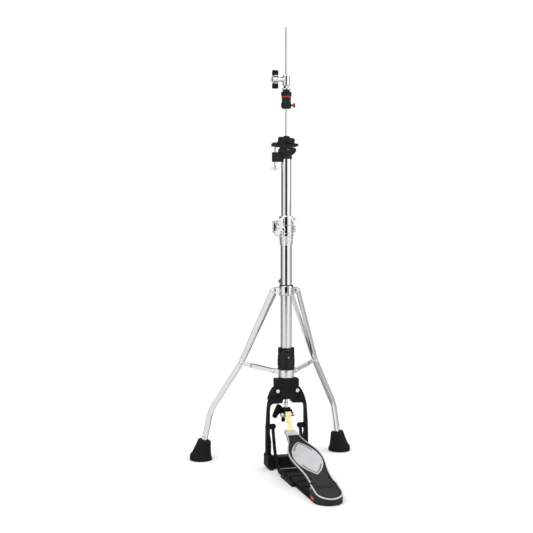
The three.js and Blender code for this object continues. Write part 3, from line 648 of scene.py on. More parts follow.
def make_seat():
    low = span("seat_housing")[0]
    bore = UPPER_R + GAP
    neck = lathe([(0, low.z + 7), (14.6, low.z + 7), (14.6, 800), (16.5, 806), (16.5, 822), (0, 822)], 64)
    cheek = [(-18, 801), (14.5, 797), *eased([(14.5, 797), (22, 805), (22, 812), (17, 815)], [4, 3], 4)[1:],
             (-14, 815), (-17, 812), (-18, 806)]
    cheeks = prism(cheek, -14, 14, "y")
    boss = block((-36, -14), (-9, 7), (low.z, 803))
    dish = rod(SEAT_R + 1.2, -30, 30, 96, "y", (0, SEAT_Z))
    ways = [rod(bore, 770, 790 + GAP, 64), rod(7.5, 770, 850), rod(3 + GAP, 760, 830, 24, "z", (-29.5, -1))]
    seam = tube(14.1, 15, 795, 796.2, 64)
    body = carve(weld(neck, cheeks, boss), dish, *ways, seam)
    piece("seat_housing_body", soft(body, 0.7, 3), "seat_housing")

    r = SEAT_R
    turn = [spin(SEAT_TILT, "Y"), shift(0, 0, SEAT_Z)]
    roller = carve(rod(r, -13, 13, 96, "y"), block((-40, 40), (-20, 20), (-4, 40)))
    cup = lathe([(0, -6), (r - 3, -6), (r - 0.6, -4.6), (r, -3), (r, -0.6), (r - 0.7, 0), (r - 0.7, 0.8),
                 (r, 1.4), (r, 6.4), (r - 1, 8), (r - 2.2, 8.2), (r - 2.2, 5.5), (0, 5.5)], 96)
    tongue = prism([(-36, -18.5), (-19, -18.5), (-14, -8), (-33, -8), (-37, -12)], -8, 6, "y")
    lug = prism([(20.5, -13), (26, -11.5), (30.5, -8), (29.5, -3.4), (20, -3)], -10, 10, "y")
    way = lathe([(0, -40), (9, -40), (9, -20), (5.4, 0), (5.4, 20), (0, 20)], 32)
    body = carve(weld(roller, cup, tongue, lug, rod(6.6, 0, 7, 32)), way)
    piece("seat_cup_body", moved(soft(body, 0.6, 3), *turn), "seat_cup")

    felt = lathe([(5.6, 5.8), (r - 2.8, 5.8), (r - 2.6, 6.6), (r - 3.6, 8), (r - 5, 8.4), (8, 8.4),
                  (7.8, 12), (7, 12.8), (6, 12.8), (5.6, 12)], 96)
    piece("seat_felt_pad", moved(soft(felt, 0.5, 3), *turn), "seat_felt")

    stem = lathe([(0, 758), (3.2, 758), (3.6, 758.6), (4.4, 760), (4.4, 766), (2.6, 768), (2.6, 814),
                  (1.6, 816), (0, 816)], 32)
    key = soft(prism([(-7, 759), (7, 759), *arc((7, 762), 3, -60, 60, 5), (7, 765), (-7, 765),
                      *arc((-7, 762), 3, 120, 240, 5)],
                     -1.8, 1.8, "y"), 0.5, 3)
    screw = moved(merged(soft(stem, 0.25), key), shift(-29.5, -1, 0))
    piece("tilt_screw_body", screw, "tilt_screw", slot="chrome")


# ---------------------------------------------------------------- rod, spring and clutch
def make_rods():
    low, high = span("pull_rod_upper")
    upper = lathe([(0, low.z + 4), (3, low.z + 4), (3, high.z - 1.4), (2.2, high.z - 0.3), (1.2, high.z),
                   (0, high.z)], 48)
    coupler = soft(rod(6, low.z, low.z + 30, 6), 0.5)
    piece("upper_rod", merged(upper, coupler), "pull_rod_upper")
    low, high = span("pull_rod_lower")
    piece("lower_rod", soft(rod(3, low.z, high.z, 48), 0.3), "pull_rod_lower")


def make_spring():
    """The compression spring as a real coil, with its two end turns closed up."""
    low, high = span("return_spring")
    wire, mean, turns, steps = 1.45, 8.95, 11, 22
    total = turns * steps
    loops = []
    for i in range(total + 1):
        share = i / total
        eased_share = min(max((share - 1 / turns) / (1 - 2 / turns), 0), 1)
        close = wire * 2 * (min(share, 1 / turns) + max(share - 1 + 1 / turns, 0)) * turns
        height = low.z + wire + close + eased_share * (high.z - low.z - 6 * wire)
        angle = 2 * math.pi * i / steps
        out = Vector((math.cos(angle), math.sin(angle), 0))
        centre = out * mean + Vector((0, 0, height))
        loops.append([tuple(centre + out * a + Vector((0, 0, b))) for a, b in arc((0, 0), wire, 0, 315, 7)])
    coil = piece("return_coil", loft(loops), "return_spring")
    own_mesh(coil)


def make_clutch():
    z0, z1 = 972, 999
    hole = 3 + GAP
    barrel = lathe([(hole, z0), (8, z0), (9.2, z0 + 1), (9.4, z0 + 2.4), (9.4, z0 + 9), (8.8, z0 + 9.6),
                    (8.8, z0 + 10.6), (9.4, z0 + 11.2), (9.4, z1 - 2.4), (8.8, z1 - 0.8), (7.8, z1),
                    (hole, z1)], 64)
    arm = lathe([(0, -4), (5.6, -4), (5.6, -9), (6.2, -10), (6.2, -14.5), (5.2, -16), (5.2, -17), (0, -17)],
                48, "x", (0, 987))
    body = carve(weld(barrel, arm), rod(hole, 900, 1010), rod(3 + GAP, -20, 0, 32, "x", (0, 987)))
    piece("clutch_clamp_body", soft(body, 0.35), "clutch_clamp")

    turn = [spin(-90, "Y"), shift(-17 - GAP, 0, 987)]
    hub = lathe([(0, -12), (3, -12), (3, 0), (5.3, 0), (6.4, 3), (8.4, 4.4), (9.3, 5.4), (9.3, 10.6),
                 (8.6, 11.2), (8.6, 12.2), (9.3, 12.8), (9.3, 17.6), (7.6, 20), (0, 20)], 64)
    bars = block((-17, 17), (-4, 4), (7, 17))
    piece("clutch_screw_body", moved(merged(soft(hub, 0.4), soft(bars, 0.6)), *turn), "clutch_wing_screw")
    for name, sign in (("top", 1), ("low", -1)):
        outline = [(10.2, -5.6), *arc((17, 0), 6.5, -78, 78, 12), (10.2, 5.6)]
        shell = prism(mirrored(outline, sign), 5.2, 18.8)
        room = block((-17 - GAP, 17 + GAP), (-4 - GAP, 4 + GAP), (7 - GAP, 17 + GAP))
        cap = soft(carve(shell, room), 1.2, 4)
        piece(f"clutch_tip_{name}", moved(cap, *turn), f"clutch_wing_tip_{name}")

    low, high = span("clutch_nut")
    flange = lathe([(hole, low.z), (9, low.z), (11, low.z + 1.4), (11.2, low.z + 2.2), (11.2, low.z + 4),
                    (10, low.z + 5.4), (hole, low.z + 5.4)], 64)
    hexes = lathe([(hole, low.z + 5), (7.2, low.z + 5), (7.2, high.z - 0.8), (6.4, high.z), (hole, high.z)],
                  6)
    piece("clutch_nut_body", merged(soft(flange, 0.35), soft(hexes, 0.35)), "clutch_nut")

    upper = lathe([(hole, 946), (11, 946), (11.6, 948), (12.2, 950.6), (13.5, 951.8), (13.5, 955),
                   (12, 956.5), (9.2, 957), (9.2, 960), (hole, 960)], 96)
    teeth = [moved(block((10.6, 13.4), (-2, 2), (946, 951.6)), spin(45 * i, "Z")) for i in range(8)]
    stem = tube(hole, 5.6, 915, 947, 48)
    upper = merged(soft(upper, 0.35), *[soft(t, 0.5) for t in teeth], soft(stem, 0.3))
    piece("clutch_upper", upper, "clutch_upper_body")

    low, high = span("clutch_ring")
    band = tube(6, 11.9, low.z, high.z, 96)
    marks = [moved(prism([(-2.6, low.z), (2.6, low.z), (0, high.z - 0.2)], -12.4, -11.4, "y"),
                   spin(30 * i, "Z")) for i in range(12)]
    piece("clutch_ring_band", merged(soft(band, 0.4), *[soft(m, 0.2) for m in marks]), "clutch_ring")

    low, high = span("clutch_lower_body")
    body = lathe([(6, low.z), (10.4, low.z), (12, low.z + 1.6), (12.6, low.z + 5), (12.6, low.z + 13),
                  (11.4, low.z + 18), (11.2, low.z + 21), (11.8, low.z + 22), (11.8, low.z + 25.4),
                  (11, high.z), (6, high.z)], 96)
    body = carve(body, rod(2.8, 6, 20, 32, "x", (0, 923)))
    ribs = []
    for i in range(18):
        angle = 20 * i
        if angle in (0, 20, 340):
            continue
        ribs.append(moved(soft(block((11.4, 13.4), (-1, 1), (low.z + 4, low.z + 14)), 0.5), spin(angle, "Z")))
    piece("clutch_lower", merged(soft(body, 0.5), *ribs), "clutch_lower_body")

    knob = lathe([(0, 9.5), (2.4, 9.5), (2.4, 15.6), (3.2, 16.6), (3.8, 18), (5.6, 19.4), (6.3, 20.4),
                  (6.3, 21.6), (5.4, 22.4), (3, 22.5), (2.4, 21.9), (0, 21.9)], 48, "x", (0, 923))
    piece("release_knob", soft(knob, 0.3), "clutch_release_knob")


# ---------------------------------------------------------------- tension sleeve and collars
def make_sleeve():
    low, high = span("tension_sleeve")
    bore = LOWER_R + GAP
    z0, z1 = low.z, high.z
    sleeve = lathe([(bore, z0), (20.6, z0), (21.4, z0 + 0.8), (21.7, z0 + 2), (21.7, z0 + 6),
                    (21, z0 + 6.8), (21, z0 + 8), (21.7, z0 + 8.8), (21.7, 286.4), (20.9, 288.2),
                    (20.9, z1), (bore, z1)], 96)
    notches = []
    for flight in (0, 180):
        for i in range(4):
            notch = block((-4.1, 4.1), (-24, -12), (281 + i * 6, 321 + i * 6))
            notches.append(moved(notch, spin(flight + i * 41, "Z")))
    body = soft(carve(sleeve, *notches), 0.5, 3)
    grips = [moved(soft(block((21.2, 22.1), (-1.3, 1.3), (z0 + 11, z0 + 26)), 0.35), spin(18 * i, "Z"))
             for i in range(20)]
    piece("tension_sleeve_body", merged(body, *grips), "tension_sleeve")
    pin = [soft(rod(2, a, b, 32, "y", (0, 283.5)), 0.5, 3) for a, b in ((-22.5, -4), (4, 22.5))]
    washer = soft(tube(4, 9.5, 281.5, 286, 48), 0.4)
    piece("tension_cross_pin", merged(washer, *pin), "tension_pin")


LEG_TURN = {}
for side in ("left", "right"):
    foot_low, foot_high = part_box(f"foot_{side}")
    LEG_TURN[side] = math.degrees(math.atan2(foot_low.y + foot_high.y, foot_low.x + foot_high.x))
HINGE = (32, 452)
BRACE_PIVOT = (33, 245)
BRACE_JOINT = (123, 261)
BEND = (208, 132)
ANKLE = (226, 53)
FOOT_TILT = 12.6
STRAP_WIDTH = 12.5
STRAP_DEPTH = 6
STRAP_WALL = 1.5
HINGE_SPREAD = 10.5
CLOSE_SPREAD = 1.3


def lug(reach, r, z, low, high):
    """A tongue that runs outwards from the column in the XZ plane and has a round end."""
    return prism([(0, z - r), *arc((reach, z), r, -90, 90, 12), (0, z + r)], low, high, "y")


def make_collars():
    low, high = span("upper_leg_collar")
    bore = LOWER_R + GAP
    ring = lathe([(bore, 440), (17.2, 440), (18, 441), (18.2, 442.4), (18.2, 447), (17.7, 447.5),
                  (17.7, 448.3), (18.2, 448.8), (18.2, 461.6), (17.4, 464), (bore, 464)], 96)
    clear = rod(bore, 430, 480, 96)
    upper = [soft(carve(ring, block((-1.1, 1.1), (-30, -10), (430, 480))), 0.4)]
    for turn in LEG_TURN.values():
        half = HINGE_SPREAD - 3 * GAP
        tongue = soft(carve(lug(HINGE[0], 8, HINGE[1], -half, half), rod(bore, 430, 480, 64)), 0.8, 3)
        shaft = rod(2, -18.4, 18.4, 24, "y", HINGE)
        heads = [dome(4, s * 16.8, s * 1.6, "y", HINGE, 1.3) for s in (-1, 1)]
        upper += [moved(shape, spin(turn, "Z")) for shape in (tongue, shaft, *heads)]
    rear = prism([*arc((0, 457.5), 6.3, 0, 180, 16), (-6.3, 443), (6.3, 443)], 12, 31, "y")
    upper.append(soft(carve(rear, clear, rod(3 + GAP, 0, 40, 24, "y", (0, 457.5))), 0.6, 3))
    piece("upper_collar_body", merged(*upper), "upper_leg_collar")
    low, high = span("upper_collar_cap")
    piece("upper_collar_lip", soft(tube(bore, 17.6, low.z, high.z, 96), 0.6, 3), "upper_collar_cap")

    z0, z1 = 231, 251
    ring = lathe([(bore, z0), (19.4, z0), (20.2, z0 + 0.8), (20.2, z0 + 4), (20.4, z0 + 4.5),
                  (20.4, z1 - 4.5), (20.2, z1 - 4), (20.2, z1 - 0.8), (19.4, z1), (bore, z1)], 96)
    lower = [soft(ring, 0.3)]
    for turn in LEG_TURN.values():
        fork = carve(
            lug(BRACE_PIVOT[0], 6, BRACE_PIVOT[1], -8.3, 8.3),
            block((BRACE_PIVOT[0] - 8, 60), (-5.2, 5.2), (200, 300)),
            rod(bore, 220, 260, 64),
        )
        heads = [dome(3.6, s * 8, s * 1.6, "y", BRACE_PIVOT, 1.1) for s in (-1, 1)]
        shaft = rod(2, -8.2, 8.2, 24, "y", BRACE_PIVOT)
        lower += [moved(shape, spin(turn, "Z")) for shape in (soft(fork, 0.6, 3), shaft, *heads)]
    piece("lower_collar_body", merged(*lower), "lower_leg_collar")


def make_leg_screw():
    screw = wing_screw(13, 14, 6, 24, 24, 7.6)
    piece("leg_lock_screw", moved(screw, spin(-90, "X"), shift(0, 31 + GAP, 457.5)), "leg_wing_screw")


# ---------------------------------------------------------------- legs
def strap_shape(side):
    """One rolled channel strap in its leg's frame; side says which way its closed face looks."""
    reach = 12
    tip = (ANKLE[0] + reach * math.tan(math.radians(FOOT_TILT)), ANKLE[1] - reach)
    path = eased([HINGE, BRACE_JOINT, BEND, tip], [30, 88], 10)
    start = Vector(HINGE) + (Vector(HINGE) - Vector(BRACE_JOINT)).normalized() * (STRAP_WIDTH / 2)
    r = STRAP_WIDTH / 2
    lead = [tuple(start.lerp(Vector(HINGE), t)) for t in (0.02, 0.12, 0.3, 0.55, 0.8)]
    loops = []
    for point, normal in sides_of([*lead, *path]):
        along = (point - start).length
        half = r if along > r else math.sqrt(max(r * r - (r - along) ** 2, 0.4))
        share = min(max((point.y - BRACE_JOINT[1]) / (HINGE[1] - BRACE_JOINT[1]), 0), 1)
        inner = CLOSE_SPREAD + (HINGE_SPREAD - CLOSE_SPREAD) * share
        loop = []
        for across, out in channel_section(half):
            at = point + normal * across
            loop.append((at.x, side * (inner + out), at.y))
        loops.append(loop)
    return loft(loops)


def channel_section(half):
    """The channel's section: a web with two round shoulders and two flanges, as (across, out) points."""
    r, wall, depth = 2.2, STRAP_WALL, STRAP_DEPTH
    r = min(r, half * 0.7)
    inner = max(half - wall, 0.2)
    inner_r = min(max(r - wall, 0.4), inner)
    outer = [(half, 0), *arc((half - r, depth - r), r, 0, 90, 5),
             *arc((r - half, depth - r), r, 90, 180, 5), (-half, 0)]
    inside = [
        (-inner, 0), *arc((inner_r - inner, depth - wall - inner_r), inner_r, 180, 90, 2),
        *arc((inner - inner_r, depth - wall - inner_r), inner_r, 90, 0, 2), (inner, 0),
    ]
    return outer + inside


def make_leg(name):
    turn = spin(LEG_TURN[name], "Z")
    sign = 1 if name == "left" else -1
    ankle_rivet = tuple(Vector(ANKLE).lerp(Vector(BEND), 0.12))
    for place, side in (("front", sign), ("rear", -sign)):
        face = side * (CLOSE_SPREAD + STRAP_DEPTH)
        heads = [dome(3.4, face - side * 0.3, side * 1.6, "y", at, 1.2) for at in (BRACE_JOINT, ankle_rivet)]
        whole = merged(strap_shape(side), *heads)
        piece(f"leg_{name}_{place}", moved(whole, turn), f"leg_{name}_strap_{place}")
    make_brace(name, turn)
    make_foot(name, turn)


def make_brace(name, turn):
    """A channel that narrows to a flat tongue, which the leg's rivet holds between its straps."""
    length = (Vector(BRACE_JOINT) - Vector(BRACE_PIVOT)).length
    rise = math.degrees(math.atan2(BRACE_JOINT[1] - BRACE_PIVOT[1], BRACE_JOINT[0] - BRACE_PIVOT[0]))
    neck = length - 27
    half = 5.5
    loops = []
    for x, high, wide in ((-5.4, 1.6, 4.4), (-4.6, 3.2, 4.7), (-2.8, 4.8, 4.8), (0, half, 4.8),
                          (neck - 10, half, 4.8), (neck - 6, half, 4.4), (neck - 2, half, 2.4),
                          (neck + 2, half, 1)):
        wall = min(1.5, wide * 0.45)
        roof = min(2, high * 0.5)
        loops.append([(x, -wide, -high), (x, -wide, high - 1), (x, 1 - wide, high), (x, wide - 1, high),
                      (x, wide, high - 1), (x, wide, -high), (x, wide - wall, -high),
                      (x, wide - wall, high - roof), (x, wall - wide, high - roof), (x, wall - wide, -high)])
    tongue = prism([(neck - 4, -half), *arc((length, 0), half, -90, 90, 10), (neck - 4, half)], -1, 1, "y")
    whole = merged(loft(loops), soft(tongue, 0.3))
    piece(f"brace_{name}_body",
          moved(whole, spin(-rise, "Y"), shift(BRACE_PIVOT[0], 0, BRACE_PIVOT[1]), turn), f"brace_{name}")


def make_foot(name, turn):
    """A leaning rubber foot with a rounded lip, cut flat at the floor and hollow where the leg goes in."""
    low = -ANKLE[1] / math.cos(math.radians(FOOT_TILT))
    profile = smooth_line([(30, low + 7), (29.2, low + 10.5), (27.2, low + 13), (25.4, low + 18),
                           (22.5, low + 29), (19.6, low + 41), (18, -4.5), (17.2, -1.6), (15.5, -0.3)], 4)
    outline = [(0, low - 8), (27, low - 8), (28.6, low - 1), (29.6, low + 2.5), *profile, (0, 0)]
    body = moved(lathe(outline, 72), spin(-FOOT_TILT, "Y"))
    pocket = moved(block((-7.5, 7.5), (-8.5, 8.5), (-15, 25)), spin(-FOOT_TILT, "Y"))
    floor = block((-80, 90), (-80, 80), (-ANKLE[1] - 40, -ANKLE[1]))
    groove = moved(tube(29, 40, low + 4.8, low + 5.8, 72), spin(-FOOT_TILT, "Y"))
    foot = soft(carve(body, pocket, floor, groove), 0.7, 3)
    piece(f"foot_{name}_rubber", moved(foot, shift(ANKLE[0], 0, ANKLE[1]), turn), f"foot_{name}")


# ---------------------------------------------------------------- foot frame
def make_frame():
    low, high = span("yoke_cap")
    bore = LOWER_R + GAP
    plan = [*arc((-23, -10), 7, 270, 180, 5), *arc((-24, 10), 7, 180, 90, 5), *arc((24, 10), 7, 90, 0, 5),
            *arc((24, -10), 7, 0, -90, 5)]
    cap = prism(plan, low.z, 228)
    neck = lathe([(0, 220), (17.2, 220), (17.2, high.z - 1), (16.4, high.z), (0, high.z)], 96)
    crown = soft(carve(weld(cap, neck), rod(bore, 200, 240, 96)), 1.3, 4)
    piece("crown_cap", crown, "yoke_cap")

    front, rear, top, shoulder = -14, 12, 206, 150
    arm_rear = 3
    flank = []
    for t in [i / 12 for i in range(13)]:
        a, b, c = (1 - t) ** 2, 2 * t * (1 - t), t * t
        flank.append((33.5 * a + 49.5 * b + 52 * c, top * a + 184 * b + shoulder * c))
    half = [*flank, (46.5, shoulder), *eased([(46.5, shoulder), (44.5, 166), (14, 167)], [9], 8)[1:],
            *eased([(14, 167), (11, 176), (0, 179)], [4], 5)[1:-1]]
    body = prism(both_sides(half), front, rear, "y")
    pocket = [*arc((0, 198), 7.4, 0, 180, 12), *arc((0, 187), 7.4, 180, 360, 12)]
    tools = [rod(5, 150, 240)]
    for x in (-26, 26):
        tools.append(prism([(px + x, pz) for px, pz in pocket], -16, -10.4, "y"))
        tools.append(rod(2.8, -20, 20, 24, "y", (x, 198)))
        tools.append(block((44, 70) if x > 0 else (-70, -44), (arm_rear, 30), (120, 175)))
    casting = soft(carve(body, *tools), 1.1, 3)
    seams = [soft(prism([(s * 9, 201.4), (s * 33, 201.4), (s * 34, 202.6), (s * 9, 202.6)], -14.35, -13,
                        "y"), 0.25) for s in (-1, 1)]
    piece("yoke_body", merged(casting, *seams), "yoke_casting")

    for name, s in (("left", -1), ("right", 1)):
        x = 26 * s
        head = carve(rod(4.8, -15, -10.8, 48, "y", (x, 198)), rod(2.3, -17, -12.5, 6, "y", (x, 198)))
        bolt = merged(soft(head, 0.6, 3), rod(2.4, -12, 11, 24, "y", (x, 198)))
        piece(f"yoke_bolt_{name}", bolt, f"frame_bolt_{name}")
        post = [(52, 149.7), (46.5, 149.7),
                *eased([(46.5, 149.7), (46.5, 90), (43.5, 72), (43.5, 38.3)], [20, 20], 5)[1:],
                (55.2, 38.3), *eased([(55.2, 38.3), (54.8, 100), (52, 149.7)], [400], 6)[1:-1]]
        post = prism(mirrored(post, s), front, arm_rear, "y")
        grooves = [
            prism(mirrored(points, s), front - 4, front + 1.1, "y")
            for points in ([(48, 50), (51.6, 50), (51.4, 92), (49.4, 92)],
                           [(49, 117), (51.4, 117), (50.4, 142), (49, 142)])
        ]
        side = block((54.2, 62) if s > 0 else (-62, -54.2), (-10.5, -1), (50, 92))
        hole = rod(3 + GAP, -80, 80, 32, "x", (-3, 107))
        piece(f"frame_post_{name}", soft(carve(post, *grooves, side, hole), 0.9, 3), f"post_{name}")

    shapes = []
    for s in (-1, 1):
        foot = [(41, 0), (49, 0), *eased([(49, 0), (55.5, 8), (55.5, 20)], [6], 5)[1:], (55.5, 35.5),
                (53, 38), (41, 38)]
        end = prism(mirrored(foot, s), -26, 14, "y")
        recess = prism(mirrored([(44, 8), (52, 10), (54, 16), (54, 32), (44, 32)], s), -28, -24.4, "y")
        shapes.append(carve(end, recess))
    bar = block((-42, 42), (-12, 14), (0, 30))
    dents = [block((x - 8.5, x + 8.5), (-14, -10.6), (7, 24)) for x in (-26, 0, 26)]
    shapes.append(carve(bar, *dents))
    piece("frame_foot_bar", soft(weld(shapes[2], shapes[0], shapes[1]), 1.1, 3), "frame_base")


# ---------------------------------------------------------------- drive
STRAP_TOE = (-38, 102.4)
STRAP_PIN = (-15, 138)
STRAP_HALF = 7.75


def make_drive():
    low, high = span("rod_end")
    hexes = lathe([(0, low.z), (5.5, low.z), (5.5, 166), (4, 168), (4, high.z), (0, high.z)], 6)
    piece("rod_end_nut", soft(hexes, 0.5, 3), "rod_end")

    py, pz = STRAP_PIN
    saddle = prism([(-6.5, 142), (8, 142), *eased([(8, 142), (8, 153.7), (-6.5, 153.7)], [4], 5)[1:]], -10,
                   10, "x")
    cheeks = [prism([(-20, 136), *eased([(-20, 136), (-20, 150), (6, 150)], [6], 5)[1:], (6, 133),
                     (-17, 133)], a, b, "x")
              for a, b in ((8.4, 11.4), (-11.4, -8.4))]
    body = soft(carve(weld(saddle, *cheeks), rod(3 + GAP, -40, 40, 32, "x", (py, pz))), 0.7, 3)
    arm = prism([(-9, 143), (-9, 156), *eased([(-9, 156), (-20, 163), (-27, 150)], [4], 5)[1:],
                 *arc((-27.5, 132), 6.5, 150, 360, 20)], 4.6, 11.6, "y")
    arm = soft(arm, 1.6, 4)
    eye = merged(*[soft(tube(2.2, 4.4, a, b, 32, "y", (-27.5, 132)), 0.3) for a, b in ((4, 5.2), (11, 12.2))])
    stop = lathe([(0, 116), (4.2, 116), (4.9, 117.4), (5, 119), (5, 125), (4.4, 126.2), (3, 127), (3, 144),
                  (0, 144)], 48, "z", (-6, 6))
    piece("drive_saddle", merged(body, arm, soft(stop, 0.4), eye), "drive_bracket")

    shaft = soft(rod(3, -17, 13.5, 32, "x", STRAP_PIN), 0.5)
    head = soft(rod(5.6, 11.7, 16.5, 6, "x", STRAP_PIN), 0.5)
    piece("strap_bolt_body", merged(shaft, head), "strap_bolt")
    hub = lathe([(3 + GAP, 0), (6, 0), (6, 4.6), (5.2, 5.4), (4.6, 8), (3 + GAP, 8)], 48)
    ears = []
    for s in (-1, 1):
        outline = [(-3, 4.4 * s), *[(x, y * s) for x, y in arc((2.5, 12.5), 3.3, 180, 0, 12)], (3, 4.4 * s)]
        ears.append(soft(prism(outline, 2, 5), 0.9, 3))
    nut = moved(merged(soft(hub, 0.5), *ears), spin(-90, "Y"), shift(-11.7, py, pz))
    piece("strap_nut_body", nut, "strap_wing_nut", slot="chrome")


def make_strap():
    """The belt from the toe plate to the loop round the bolt, with stitched bands and an eyelet."""
    lean = math.degrees(math.atan2(STRAP_PIN[1] - STRAP_TOE[1], STRAP_PIN[0] - STRAP_TOE[0]))
    length = (Vector(STRAP_PIN) - Vector(STRAP_TOE)).length
    turn = [spin(lean, "X"), shift(0, *STRAP_TOE)]
    outer, inner = 7.1, 4.8
    # The belt's side view: up the outside, round the loop and back down to the lap.
    reach = math.sqrt(outer**2 - 1.2**2)
    start = math.degrees(math.asin(1.2 / outer))
    outline = [(0, -1.2), (length - reach, -1.2), *arc((length, 0), outer, 180 + start, 540 - start, 28),
               (length - reach, 1.3), (length - 21, 1.3), (length - 22, 0.2), (0, 0.2)]
    belt = carve(prism(outline, -STRAP_HALF, STRAP_HALF, "x"), rod(inner, -20, 20, 48, "x", (length, 0)))
    piece("strap_band", moved(soft(belt, 0.45, 3), *turn), "strap")
    stitches = []
    for y in (length - 10.5, length - 12.6, length - 18.5):
        for i in range(6):
            x = -6 + 2.4 * i
            for z in ((1.0, 1.5), (-1.4, -0.9)):
                stitches.append(soft(block((x - 0.8, x + 0.8), (y - 0.3, y + 0.3), z), 0.18))
    piece("strap_stitches", moved(merged(*stitches), *turn), slot="strap_belt", body="strap",
          look=FINISHES["thread"])
    eye = tube(1.5, 3, -1.55, 0.5, 48, "z", (0, 15))
    bmesh.ops.scale(eye, vec=(1, 1.35, 1), space=shift(0, -15, 0), verts=eye.verts)
    piece("strap_eyelet", moved(soft(eye, 0.3), *turn), slot="silver_metal", body="strap")


# ---------------------------------------------------------------- pedal
BOARD_SLOPE = 14.57
BOARD_HEEL = (-297, 33)
BOARD_LENGTH = 246
BOARD_TOE = 277
BOARD_THICK = 8
HEEL_PIN = (-300, 26)
BOARD_HALF = [
    (0, 31), (2, 30.5), (26, 29.8), (50, 30.6), (76, 33.8), (104, 38.6), (130, 41), (150, 40.2), (171, 36.6),
    (188, 31.2), (205, 25), (222, 20), (246, 16.5),
]
BOARD_TURN = [spin(BOARD_SLOPE, "X"), shift(0, *BOARD_HEEL)]


def board_edge(start, end, inset):
    """The footboard's closed outline between two distances from its heel end, drawn in by inset."""
    right = [(x - inset, y) for y, x in smooth_line(BOARD_HALF) if start <= y <= end]
    return both_sides(right)


def make_footboard():
    t = BOARD_THICK
    plate = prism(board_edge(0, BOARD_LENGTH, 0.6), -t, -0.2)
    tray = prism(board_edge(30, BOARD_LENGTH - 20, 5), -t - 1, -4.5)
    floor = prism(board_edge(10, BOARD_LENGTH - 6, 4.2), -1.1, 2)
    cosine, sine = math.cos(math.radians(BOARD_SLOPE)), math.sin(math.radians(BOARD_SLOPE))
    dy, dz = HEEL_PIN[0] - BOARD_HEEL[0], HEEL_PIN[1] - BOARD_HEEL[1]
    pin = (dy * cosine + dz * sine, dz * cosine - dy * sine)
    corners = [block(x, (-10, 9.5), (-20, 5)) for x in ((19.5, 40), (-40, -19.5))]
    slots = [prism([(x - 2.2, 24), (x + 2.2, 24), *arc((x, 36), 2.2, 0, 180, 6)], -20, 5)
             for x in (-23.5, 23.5)]
    grooves = []
    for i in range(7):
        y = 208 + i * 5.2
        grooves.append(block((-(18 - i), 18 - i), (y, y + 1.6), (-1.6, 2)))
    body = carve(plate, tray, floor, *corners, *slots, *grooves)
    ribs = [soft(block((-w, w), y, (-t, -3.5)), 0.4)
            for w, y in ((1, (34, 214)), (24, (60, 62)), (28, (110, 112)), (26, (165, 167)))]
    knuckle = carve(rod(6.5, -19.5, 19.5, 48, "x", pin), rod(3 + GAP, -40, 40, 32, "x", pin))
    bridge = block((-19.5, 19.5), (pin[0], 12), (-7.5, -1))
    bridge = carve(bridge, rod(3 + GAP, -40, 40, 32, "x", pin))
    tongue = soft(block((-19.3, 19.3), (-10.5, 1), (-1.9, -0.9)), 0.3)
    board = merged(soft(body, 0.55, 3), soft(weld(knuckle, bridge), 0.6), tongue, *ribs)
    piece("footboard_body", moved(board, *BOARD_TURN), "footboard", look=FINISHES["board_black"])

    rims = []
    for s in (1, -1):
        line = [(s * x, y) for y, x in smooth_line(BOARD_HALF, 8) if 9.8 <= y <= BOARD_LENGTH]
        loops = []
        for point, normal in sides_of(line):
            out = normal * (-1 if s > 0 else 1)
            loops.append([tuple(Vector((*(point + out * a), b))) for a, b in
                          ((-2.7, -0.8), (-2.7, 0.3), (-2.3, 0.7), (-0.6, 0.7), (-0.2, 0.3), (-0.2, -2.2),
                           (-1.1, -2.2), (-1.1, -0.8))])
        rims.append(soft(loft(loops), 0.2))
    piece("footboard_rim", moved(merged(*rims), *BOARD_TURN), slot="silver_metal", body="footboard")
    make_badge()
    make_toe_plate()


BADGE_HALF = 34
BADGE_REACH = 80.5
BADGE_MIDDLE = 126.5
BADGE_BOW = (BADGE_REACH**2 + BADGE_HALF**2) / (2 * BADGE_HALF)  # radius of each side
TIP_SHARE = 0.42  # how far along the badge each V starts


def badge_outline():
    """Two arcs that meet in a point at each end of the badge."""
    open_by = math.degrees(math.asin(BADGE_REACH / BADGE_BOW))
    right = arc((BADGE_HALF - BADGE_BOW, BADGE_MIDDLE), BADGE_BOW, -open_by, open_by, 24)
    left = arc((BADGE_BOW - BADGE_HALF, BADGE_MIDDLE), BADGE_BOW, 180 - open_by, 180 + open_by, 24)[1:-1]
    return right + left


def badge_half_at(y, inset):
    """Half the width between the badge's sides, each drawn in by inset, at a distance from the heel."""
    return math.sqrt(BADGE_BOW**2 - (y - BADGE_MIDDLE) ** 2) - (BADGE_BOW - BADGE_HALF) - inset


def tip_band(sign, outer, inner):
    """A V that runs along the badge's outline round one tip, between two insets."""
    edges = []
    for inset in (outer, inner):
        reach = math.sqrt(BADGE_BOW**2 - (BADGE_BOW - BADGE_HALF + inset) ** 2)
        start = BADGE_REACH * TIP_SHARE
        side = []
        for i in range(13):
            y = start + (reach - start) * i / 12
            side.append((max(badge_half_at(BADGE_MIDDLE + y, inset), 0), BADGE_MIDDLE + sign * y))
        side[-1] = (0, side[-1][1])
        edges.append(side + [(-x, y) for x, y in reversed(side[:-1])])
    return edges[0] + list(reversed(edges[1]))


def make_badge():
    """A plain pointed plate with black V marks along the outline round each tip."""
    plate = prism(badge_outline(), -1.0, 1.0)
    piece("badge_body", moved(soft(plate, 0.35), *BOARD_TURN), "badge_plate", look=FINISHES["badge"])
    marks = []
    for sign in (-1, 1):
        for outer, inner in ((4.4, 6.6), (7.8, 8.3)):
            marks.append(soft(prism(tip_band(sign, outer, inner), 0.6, 1.15), 0.1))
    piece("badge_lines", moved(merged(*marks), *BOARD_TURN), slot="black_plastic", body="footboard")


